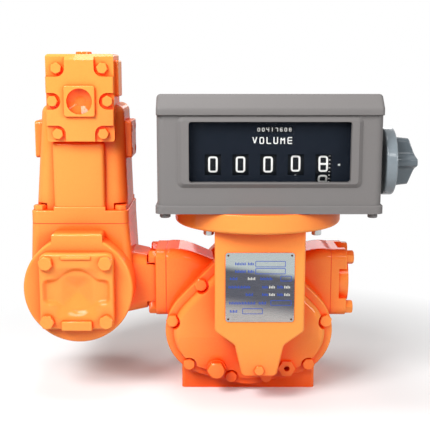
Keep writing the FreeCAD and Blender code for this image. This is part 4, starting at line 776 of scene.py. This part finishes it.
class FLOWMETER_OT_cast_lid(bpy.types.Operator):
    """Counter lid with a sloping front that ends in a ridge, and a top that falls away behind it"""

    bl_idname = "flow_meter.cast_lid"
    bl_label = "Cast counter lid"

    def execute(self, context):
        grey = frame["nodes"]["counter_lid"].data.materials[0]
        sleeve = self.lid(*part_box("counter_lid"), settings().counter)
        piece = make_piece("counter_lid_casting", [sleeve], grey, "frame")
        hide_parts("counter_lid")
        return {"FINISHED"}

    @staticmethod
    def lid(low, high, look):
        """The lid's section, carried from its left end to its right.

        The section runs up the lip and the sloping front to the ridge, back along the falling top and down again, with
        rounded corners. Towards each end it shrinks along a quarter circle, in depth and above the lip.
        """
        corner, pitch = 1.5 * MILLIMETRE, 1.5 * MILLIMETRE
        # Steps of the rounding at an end, and the first plain section's distance from the end in radii
        end_steps, plain = 8, 1.5
        lip = low.z + look.lid_lip
        ridge = high.z + look.lid_ridge
        corners = [
            (low.y, low.z),
            (low.y, lip),
            (low.y + look.lid_slope, ridge),
            (high.y - look.lid_slope, high.z - look.lid_fall),
            (high.y, lip),
            (high.y, low.z),
        ]
        section = rounded_path(np.array(corners), True, corner, pitch)
        turn = np.linspace(QUARTER_TURN, 0, end_steps)
        from_end = look.lid_round * np.append(1 - np.sin(turn), plain)
        shrunk = look.lid_round * np.append(1 - np.cos(turn), 0)
        along = np.concatenate([low.x + from_end, high.x - from_end[::-1]])[:, None]
        shrunk = np.concatenate([shrunk, shrunk[::-1]])[:, None]
        middle = (low.y + high.y) / 2
        deep = middle + (section[:, 0] - middle) * (1 - shrunk / (high.y - middle))
        up = section[:, 1] - np.maximum(section[:, 1] - lip, 0) * shrunk / (ridge - lip)
        return tube(np.stack([np.broadcast_to(along, deep.shape), deep, up], axis=-1), False)


class FLOWMETER_OT_cast_knob(bpy.types.Operator):
    """Reset knob: a round disc, and a bar grip with a hollow-sided rib that leads to its nose"""

    bl_idname = "flow_meter.cast_knob"
    bl_label = "Cast reset knob"

    def execute(self, context):
        look = settings().counter
        low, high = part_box("reset_knob")
        shaft_low, shaft_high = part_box("reset_shaft")
        play = 0.05 * MILLIMETRE
        axis = np.array([0, low.y + high.y, low.z + high.z]) / 2
        bore = (shaft_high.z - shaft_low.z) / 2 + play
        bottom = shaft_high.x + play
        face = low.x + look.disc
        sleeves = [
            self.disc(low.x, face, (high.z - low.z) / 2, bore, axis),
            self.grip(face, high.x, bore, bottom, look, axis),
        ]
        enamel = frame["nodes"]["reset_knob"].data.materials[0]
        piece = make_piece("reset_knob_casting", sleeves, enamel, "reset")
        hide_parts("reset_knob")
        return {"FINISHED"}

    @staticmethod
    def disc(back, face, radius, bore, axis):
        """A rectangle with rounded corners, between the bore and the rim, turned once round the axis."""
        corner, pitch, steps_round = 2.2 * MILLIMETRE, 0.7 * MILLIMETRE, 96
        corners = np.array([(back, bore), (back, radius), (face, radius), (face, bore)])
        profile = rounded_path(corners, True, corner, pitch)
        angle = np.linspace(0, FULL_TURN, steps_round, endpoint=False)[:, None]
        out = profile[:, 1] * np.ones_like(angle)
        along = profile[:, 0] * np.ones_like(angle)
        return tube(np.stack([along, out * np.cos(angle), out * np.sin(angle)], axis=-1) + axis, True)

    @staticmethod
    def grip(face, nose, bore, bottom, look, axis):
        """Sections of the grip from the disc to the nose, with the blind bore for the shaft first.

        The half length is the soft minimum of two straight lines, one nearly level and one falling to the nose. Half
        the thickness is that of the bar, plus the rib's rise over one plus the sixth power of the distance from the
        rib's middle, times the root of one less a square where the bar's end is rounded.
        """
        root, edge, soft, end_round = (size * MILLIMETRE for size in (1.0, 0.8, 0.5, 4))
        draft, rib_spread, thinning, end_share = 0.12, 1.3, 0.25, 0.35
        stations, nose_steps, steps_up = 45, 5, 49
        turn = np.linspace(0, QUARTER_TURN, nose_steps)[1:]
        straight = np.linspace(face - root, nose - edge, stations)
        along = np.concatenate([straight, nose - edge * (1 - np.sin(turn))])[:, None]
        inset = np.concatenate([np.zeros(stations), edge * (1 - np.cos(turn))])[:, None]
        level = look.grip_half - draft * (along - face)
        knee = face + look.grip_side
        falling = look.grip_half - draft * look.grip_side
        falling = falling - (falling - look.nose_half) * (along - knee) / (nose - knee)
        half = -soft * np.logaddexp(-level / soft, -falling / soft)
        up = half * np.sin(np.linspace(-QUARTER_TURN, QUARTER_TURN, steps_up))
        rib = 1 / (1 + (up / (rib_spread * look.nose_half)) ** 6)
        out = look.bar_half * (1 - thinning * np.abs(up) / look.grip_half)
        out = out + (look.rib_reach - out) * rib
        end = np.minimum(end_share * half, end_round)
        out = out * np.sqrt(1 - np.clip((np.abs(up) - half + end) / end, 0, 1) ** 2)
        out = out * (1 - inset / look.rib_reach)
        up = up * (1 - inset / half)
        out = np.hstack([out, -out[:, -2:0:-1]])
        up = np.hstack([up, up[:, -2:0:-1]])
        rows = np.stack([np.broadcast_to(along, out.shape), out, up], axis=-1)
        round_axis = np.arctan2(up[0], out[0])
        hole = np.stack([np.zeros_like(round_axis), bore * np.cos(round_axis), bore * np.sin(round_axis)], axis=-1)
        holes = np.stack([hole + np.array([bottom, 0, 0]), hole + np.array([face - root, 0, 0])])
        return tube(np.concatenate([holes, rows]) + axis, False)


class FLOWMETER_OT_glaze_window(bpy.types.Operator):
    """Clear window glass in front of the counter"""

    bl_idname = "flow_meter.glaze_window"
    bl_label = "Glaze window"

    def execute(self, context):
        # Float glass: nearly all light passes, with a thin reflection and faint smears some centimetres wide
        glass = finish(
            "clear_float_glass",
            linear("#10161C"),
            linear("#1A222A"),
            rough=(0.02, 0.06),
            grain=30 * MILLIMETRE,
            relief=0.0,
            sockets={"IOR": 1.52, "Specular IOR Level": 0.12, "Alpha": 0.06},
        )
        dress("window_glass", glass)
        return {"FINISHED"}


class FLOWMETER_OT_finish_metals(bpy.types.Operator):
    """Bare metals: rotors, gears, shafts, bushes, chassis, basket and float"""

    bl_idname = "flow_meter.finish_metals"
    bl_label = "Finish metals"

    def execute(self, context):
        for slot, (name, dark, light, rough, grain, relief, stretch) in METALS.items():
            metal = finish(
                name,
                linear(dark),
                linear(light),
                rough,
                grain * MILLIMETRE,
                relief * MILLIMETRE,
                {"Metallic": 1.0},
                stretch,
            )
            dress(slot, metal)
        return {"FINISHED"}


class FLOWMETER_OT_fit_bolts(bpy.types.Operator):
    """Chamfered hexagon bolts in place of the plain ones"""

    bl_idname = "flow_meter.fit_bolts"
    bl_label = "Fit bolts"

    def execute(self, context):
        golden_turn = math.pi * (3 - math.sqrt(5))
        for name, axis in BOLT_SETS.items():
            mesh = frame["nodes"][name].data
            solids = islands(mesh)
            sleeves = [hexagon_bolt(points, axis, number * golden_turn) for number, points in enumerate(solids)]
            piece = make_piece(name + "_heads", sleeves, mesh.materials[0], "frame", crease=30)
            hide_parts(name)
        return {"FINISHED"}


class FLOWMETER_OT_print_figures(bpy.types.Operator):
    """White figures on the large wheels and on the totalizer's wheels"""

    bl_idname = "flow_meter.print_figures"
    bl_label = "Print figures"

    def execute(self, context):
        look = settings().counter
        # Screen-printed white ink: slightly uneven cover, hardly glossy
        ink = finish(
            "white_printing_ink",
            *tones(look.figure, dark=0.92, light=1.0),
            rough=(0.5, 0.65),
            grain=0.7 * MILLIMETRE,
            relief=0.005 * MILLIMETRE,
        )
        size = (look.figure_width, look.figure_height, look.stroke)
        for number, (body, lift) in enumerate(zip(WHEEL_BODIES, WHEEL_LIFTS)):
            low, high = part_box(f"number_wheel_{number + 1}")
            middle = (low + high) / 2
            radius = (high.z - low.z) / 2
            sleeves = wheel_figures(middle, radius, int(look.reading[number]), lift, size, look.ink)
            if body == WHEEL_BODIES[-1]:
                sleeves += self.ticks(middle, radius, look.figure_width / 2, lift, look.ink)
            make_piece(f"figures_{number + 1}", sleeves, ink, body)
        # Small figures: width as a share of a drum's, height and stroke as shares of the pitch round it
        width_share, height_share, stroke_share = 0.68, 0.84, 0.17
        names = ("totalizer_wheels", "totalizer_unit_wheel")
        drums = [points for name in names for points in islands(frame["nodes"][name].data)]
        drums.sort(key=lambda points: points[:, X].min())
        sleeves = []
        for number, points in enumerate(drums):
            low, high = points.min(axis=0), points.max(axis=0)
            radius = (high[Z] - low[Z]) / 2
            pitch = FULL_TURN * radius / FIGURES_ROUND_A_WHEEL
            size = (width_share * (high[X] - low[X]), height_share * pitch, stroke_share * pitch)
            sleeves.append(wheel_figures((low + high) / 2, radius, int(look.total[number]), 0, size, look.ink / 2))
        make_piece("total_figures", sum(sleeves[:-1], []), ink, "totalizer_slow")
        make_piece("total_unit_figures", sleeves[-1], ink, "totalizer_fast")
        return {"FINISHED"}

    @staticmethod
    def ticks(middle, radius, half, lift, thickness):
        """Short marks to the right of the figures, each a straight ribbon across the rim, at even angles round it."""
        line, start, stop = (size * MILLIMETRE for size in (0.7, 0.7, 2.5))
        count = TICKS_TO_A_FIGURE * FIGURES_ROUND_A_WHEEL
        path = np.array([[half + start, 0], [half + stop, 0]])
        sleeves = []
        for number in range(count):
            angle = number * FULL_TURN / count + lift / radius
            sleeves.append(tube(round_wheel(middle, radius, angle)(ribbon(path, False, line / 2, thickness)), False))
        return sleeves


class FLOWMETER_OT_mark_face(bpy.types.Operator):
    """Word under the totalizer and index beside the last wheel"""

    bl_idname = "flow_meter.mark_face"
    bl_label = "Mark face"

    def execute(self, context):
        look = settings().counter
        ink = bpy.data.materials["white_printing_ink"]
        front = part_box("counter_face")[0].y
        drum_low, drum_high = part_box("totalizer_wheels")
        middle = (drum_low.x + drum_high.x) / 2
        # Height of the word's middle above the floor
        level = 0.2935
        width, height, stroke, pitch = (size * MILLIMETRE for size in (4.8, 7.2, 1.1, 7.3))
        sleeves = []
        for number, letter in enumerate(look.unit):
            x = middle + (number - (len(look.unit) - 1) / 2) * pitch
            sleeves += sign(letter, width, height, stroke, look.ink, on_front((x, front, level)))
        make_piece("unit_word", sleeves, ink, "frame")
        wheel_low, wheel_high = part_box("number_wheel_5")
        gap, reach, rise, corner, step, half = (size * MILLIMETRE for size in (3, 2.4, 0.8, 0.2, 0.3, 0.4))
        arrow = np.array([[reach, rise], [0, 0], [reach, -rise]])
        onto = on_front((wheel_high.x + gap, front, (wheel_low.z + wheel_high.z) / 2))
        index = tube(onto(ribbon(rounded_path(arrow, False, corner, step), False, half, look.ink)), False)
        make_piece("index_mark", [index], ink, "frame")
        return {"FINISHED"}


class FLOWMETER_OT_print_plate(bpy.types.Operator):
    """Brushed nameplate with printed boxes, word places and rivets"""

    bl_idname = "flow_meter.print_plate"
    bl_label = "Print nameplate"

    def execute(self, context):
        look = settings().plate
        # Brushed stainless sheet: fine lines along the width, drawn coarser than real ones so that they show, and a
        # painted reflection in bands in its colour, pale above and below and dark between
        steel = finish(
            "brushed_stainless_painted_reflection",
            linear("#4E4F58"),
            linear("#6C6E78"),
            rough=(0.22, 0.32),
            grain=0.35 * MILLIMETRE,
            relief=0.002 * MILLIMETRE,
            sockets={"Metallic": 1.0},
            stretch=(0.03, 1, 1),
        )
        low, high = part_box("nameplate")
        size = np.array([high.x - low.x, high.z - low.z])
        aslant = (0.15, 0, 1)
        # Tone of each band of painted reflection, and the shares of the plate's height where it sets in and is full
        for tone, start, stop in (("#C4CECD", 0.68, 0.8), ("#B8B4B1", 0.36, 0.1)):
            add_band(steel, linear(tone), aslant, low.z + start * size[1], low.z + stop * size[1])
        dress("plate_steel", steel)
        # Blue enamel ink fired on the plate: an even colour with a dull shine
        blue = finish(
            "blue_printing_ink",
            *tones(look.print_blue, dark=0.9, light=1.1),
            rough=(0.4, 0.55),
            grain=0.7 * MILLIMETRE,
            relief=0.004 * MILLIMETRE,
        )
        onto = on_front(((low.x + high.x) / 2, low.y, (low.z + high.z) / 2))
        ink, corner, step = (size_mm * MILLIMETRE for size_mm in (0.1, 0.4, 0.5))
        sleeves = []
        for left, right, bottom, top in PLATE_BOXES:
            corners = (np.array([[left, bottom], [left, top], [right, top], [right, bottom]]) - 0.5) * size
            path = rounded_path(corners, True, corner, step)
            sleeves.append(tube(onto(ribbon(path, True, look.line / 2, ink)), True))
        for place in PLATE_WORDS:
            sleeves += self.word(place, size, ink, onto)
        make_piece("plate_print", sleeves, blue, "frame")
        # Etched marks: bright bare metal, matt and pale
        etched = finish(
            "etched_stainless",
            linear("#C8C8C2"),
            linear("#E6E6E0"),
            rough=(0.5, 0.65),
            grain=0.5 * MILLIMETRE,
            relief=0.004 * MILLIMETRE,
            sockets={"Metallic": 1.0},
        )
        sleeves = [sleeve for place in PLATE_MARKS for sleeve in self.word(place, size, ink, onto)]
        make_piece("plate_marks", sleeves, etched, "frame")
        # Copper-plated drive rivets, gone brown: small dark heads with a soft glint
        copper = finish(
            "browned_copper_rivet",
            linear("#3A241E"),
            linear("#6A4438"),
            rough=(0.35, 0.5),
            grain=0.8 * MILLIMETRE,
            relief=0.005 * MILLIMETRE,
            sockets={"Metallic": 1.0},
        )
        rivets = [self.rivet(spot, look.rivet, onto) for spot in SQUARE * (size / 2 - look.rivet_inset)]
        make_piece("plate_rivets", rivets, copper, "frame")
        return {"FINISHED"}

    @staticmethod
    def word(place, size, ink, onto):
        """Upright strokes in a row that stand for the letters of a word, every second one shorter."""
        left, right, level = place
        pitch, half, shorter = (size_mm * MILLIMETRE for size_mm in (1.7, 1.5, 0.4))
        stroke_share = 0.3
        sleeves = []
        for number in range(round((right - left) * size[0] / pitch)):
            x = (left - 0.5) * size[0] + (number + 0.5) * pitch
            foot = (level - 0.5) * size[1] - half
            path = np.array([[x, foot], [x, foot + 2 * (half - shorter * (number % 2))]])
            sleeves.append(tube(onto(ribbon(path, False, stroke_share * pitch, ink)), False))
        return sleeves

    @staticmethod
    def rivet(spot, radius, onto):
        """A rivet's head: a circle's arc, pressed to half its height, turned once round the rivet's middle."""
        steps_round, steps_up, top, pressed = 20, 6, 0.42 * math.pi, 0.5
        angle = np.linspace(0, FULL_TURN, steps_round, endpoint=False)
        slope = np.linspace(0, top, steps_up)[:, None]
        across, out = radius * np.cos(slope), pressed * radius * np.sin(slope)
        dome = [spot[0] + across * np.cos(angle), spot[1] + across * np.sin(angle), out + 0 * angle]
        return tube(onto(np.stack(dome, axis=-1)), False)


class FLOWMETER_OT_cut_threads(bpy.types.Operator):
    """Pipe threads in the inlet and outlet"""

    bl_idname = "flow_meter.cut_threads"
    bl_label = "Cut threads"

    def execute(self, context):
        # Bare cut iron in the holes: dark grey, oily
        iron = finish(
            "bare_cut_iron",
            linear("#4E4C4A"),
            linear("#78746F"),
            rough=(0.32, 0.5),
            grain=1.0 * MILLIMETRE,
            relief=0.01 * MILLIMETRE,
            sockets={"Metallic": 1.0},
        )
        for mount in frame["record"]["mounts"]:
            if mount["name"] in PIPE_PORTS:
                radius = mount["dims"]["r_mm"] * MILLIMETRE
                depth = mount["dims"]["length_mm"] * MILLIMETRE
                sleeve = self.thread(mount["pos_m"], mount["axis"], radius, depth, PIPE_PITCH)
                make_piece(mount["name"] + "_thread", [sleeve], iron, "frame", crease=50)
        return {"FINISHED"}

    @staticmethod
    def thread(middle, direction, radius, depth, pitch):
        """A screw thread as a sleeve closed on itself: ridged inside, plain outside.

        Inside, the radius falls from the root by a triangle wave of the height in pitches less the turns round the
        axis. Outside it is the hole's own radius.
        """
        steps_round, steps_a_pitch, ridge_share = 48, 8, 0.6
        skin, short = 0.05 * MILLIMETRE, 0.4 * MILLIMETRE
        turns = np.linspace(0, 1, steps_round, endpoint=False)
        level = np.linspace(-0.5, 0.5, steps_a_pitch * round(depth / pitch) + 1) * (depth - short)
        wave = np.abs((level[:, None] / pitch - turns[None, :]) % 1 - 0.5) * 2
        inside = radius - 3 * skin - ridge_share * pitch * wave
        outside = np.full((2, len(turns)), radius - skin)
        reach = np.vstack([inside, outside])
        height = np.concatenate([level, level[[-1, 0]]])[:, None]
        axis = Vector(direction)
        first = np.array(axis.orthogonal().normalized())
        second = np.cross(np.array(axis), first)
        around = FULL_TURN * turns[None, :, None]
        grid = (
            np.array(middle)
            + reach[..., None] * (np.cos(around) * first + np.sin(around) * second)
            + height[..., None] * np.array(axis)
        )
        return tube(grid, True)


class FLOWMETER_OT_set_stage(bpy.types.Operator):
    """White floor, soft lamps and the camera"""

    bl_idname = "flow_meter.set_stage"
    bl_label = "Set stage"

    def execute(self, context):
        look = settings().stage
        scene = context.scene
        scene.view_settings.view_transform = "Standard"
        self.floor(scene, look)
        self.world(scene)
        for name, (place, side, watts) in LAMPS.items():
            lamp = bpy.data.lights.new(name, "AREA")
            lamp.size = side
            lamp.energy = watts
            item = bpy.data.objects.new(name, lamp)
            item.location = place
            item.rotation_euler = (LAMP_AIM - item.location).to_track_quat("-Z", "Y").to_euler()
            scene.collection.objects.link(item)
        camera = bpy.data.cameras.new("camera")
        camera.sensor_width = SENSOR_WIDTH
        camera.lens = look.lens
        holder = bpy.data.objects.new("camera", camera)
        holder.location = look.camera_place
        holder.rotation_euler = (QUARTER_TURN - look.camera_tilt, 0, 0)
        scene.collection.objects.link(holder)
        scene.camera = holder
        return {"FINISHED"}

    @staticmethod
    def floor(scene, look):
        """A wide flat floor: matt paint that keeps the shadow, fading to plain white away from the object."""
        near, far = FLOOR_FADE
        corners = [(-1, -1, 0), (1, -1, 0), (1, 1, 0), (-1, 1, 0)]
        mesh = bpy.data.meshes.new("floor")
        mesh.from_pydata([Vector(corner) * FLOOR_REACH for corner in corners], [], [(0, 1, 2, 3)])
        floor = bpy.data.objects.new("floor", mesh)
        scene.collection.objects.link(floor)
        # Matt wall paint: no shine, and darker in the light that it throws back, so that undersides keep their tone
        made = bpy.data.materials.new("matt_white_floor_paint")
        made.use_nodes = True
        mesh.materials.append(made)
        tree = made.node_tree
        tree.nodes.clear()
        place = node(tree, "ShaderNodeTexCoord")
        away = node(tree, "ShaderNodeVectorMath", None, {0: place.outputs["Object"]}, operation="LENGTH")
        fade = node(
            tree, "ShaderNodeMapRange", {"From Min": near, "From Max": far}, {"Value": away.outputs["Value"]}
        )
        ray = node(tree, "ShaderNodeLightPath")
        seen = ray.outputs["Is Camera Ray"]
        for kind in ("Is Glossy Ray", "Is Transmission Ray"):
            seen = node(tree, "ShaderNodeMath", None, {0: seen, 1: ray.outputs[kind]}, operation="MAXIMUM").outputs[0]
        share = node(tree, "ShaderNodeMath", None, {0: fade.outputs["Result"], 1: seen}, operation="MULTIPLY")
        tone = node(
            tree,
            "ShaderNodeMix",
            {MIX_FROM: look.floor, MIX_TO: look.floor_bounce},
            {MIX_SHARE: ray.outputs["Is Diffuse Ray"]},
            data_type="RGBA",
        )
        paint = node(tree, "ShaderNodeBsdfDiffuse", None, {"Color": tone.outputs[MIXED]})
        white = node(tree, "ShaderNodeEmission", {"Strength": 1.0})
        mixed = node(
            tree, "ShaderNodeMixShader", None, {0: share.outputs[0], 1: paint.outputs[0], 2: white.outputs[0]}
        )
        node(tree, "ShaderNodeOutputMaterial", None, {"Surface": mixed.outputs[0]})

    @staticmethod
    def world(scene):
        """White surroundings for the eye, and low soft light for everything else.

        For mirrors they are white behind and greyer in front: the strength rises evenly with how far a ray's way leads
        to the back.
        """
        front, behind = -0.5, 0.6
        front_strength, behind_strength, soft_light = 0.2, 1.0, 0.18
        world = bpy.data.worlds.new("white_room")
        scene.world = world
        world.use_nodes = True
        tree = world.node_tree
        tree.nodes.clear()
        ray = node(tree, "ShaderNodeLightPath")
        place = node(tree, "ShaderNodeTexCoord")
        way = node(tree, "ShaderNodeSeparateXYZ", None, {0: place.outputs["Generated"]})
        mirrored = node(
            tree,
            "ShaderNodeMapRange",
            {"From Min": front, "From Max": behind, "To Min": front_strength, "To Max": behind_strength},
            {"Value": way.outputs["Y"]},
        )
        level = node(
            tree,
            "ShaderNodeMath",
            None,
            {0: mirrored.outputs["Result"], 1: ray.outputs["Is Glossy Ray"]},
            operation="MULTIPLY",
        )
        for seen in ("Is Camera Ray", "Is Transmission Ray"):
            level = node(tree, "ShaderNodeMath", None, {0: level.outputs[0], 1: ray.outputs[seen]}, operation="MAXIMUM")
        level = node(tree, "ShaderNodeMath", {1: soft_light}, {0: level.outputs[0]}, operation="MAXIMUM")
        light = node(tree, "ShaderNodeBackground", {"Color": (1, 1, 1, 1)}, {"Strength": level.outputs[0]})
        node(tree, "ShaderNodeOutputWorld", None, {"Surface": light.outputs["Background"]})


OPERATORS = (
    FLOWMETER_OT_paint_castings,
    FLOWMETER_OT_cast_cover,
    FLOWMETER_OT_finish_counter,
    FLOWMETER_OT_cast_lid,
    FLOWMETER_OT_cast_knob,
    FLOWMETER_OT_glaze_window,
    FLOWMETER_OT_finish_metals,
    FLOWMETER_OT_fit_bolts,
    FLOWMETER_OT_print_figures,
    FLOWMETER_OT_mark_face,
    FLOWMETER_OT_print_plate,
    FLOWMETER_OT_cut_threads,
    FLOWMETER_OT_set_stage,
)


class FlowMeterSettings(bpy.types.PropertyGroup):
    """All settings of the flow meter's looks"""

    casting: PointerProperty(type=CastingSettings)
    counter: PointerProperty(type=CounterSettings)
    plate: PointerProperty(type=PlateSettings)
    stage: PointerProperty(type=StageSettings)


class FLOWMETER_PT_looks(bpy.types.Panel):
    """Steps that dress the flow meter, in order"""

    bl_label = "Flow meter"
    bl_space_type = "VIEW_3D"
    bl_region_type = "UI"
    bl_category = "Flow meter"

    def draw(self, context):
        for operator in OPERATORS:
            self.layout.operator(operator.bl_idname)
        for name in ("casting", "counter", "plate", "stage"):
            group = getattr(settings(), name)
            box = self.layout.box()
            for key in group.bl_rna.properties.keys():
                if key not in ("rna_type", "name"):
                    box.prop(group, key)


CLASSES = (
    CastingSettings,
    CounterSettings,
    PlateSettings,
    StageSettings,
    FlowMeterSettings,
    *OPERATORS,
    FLOWMETER_PT_looks,
)


def register():
    for one in CLASSES:
        bpy.utils.register_class(one)
    bpy.types.Scene.flow_meter = PointerProperty(type=FlowMeterSettings)


def unregister():
    del bpy.types.Scene.flow_meter
    for one in reversed(CLASSES):
        bpy.utils.unregister_class(one)


def main():
    """Registers the add-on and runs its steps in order."""
    register()
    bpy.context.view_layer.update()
    for operator in OPERATORS:
        group, step = operator.bl_idname.split(".")
        getattr(getattr(bpy.ops, group), step)()


if __name__ == "__main__":
    main()
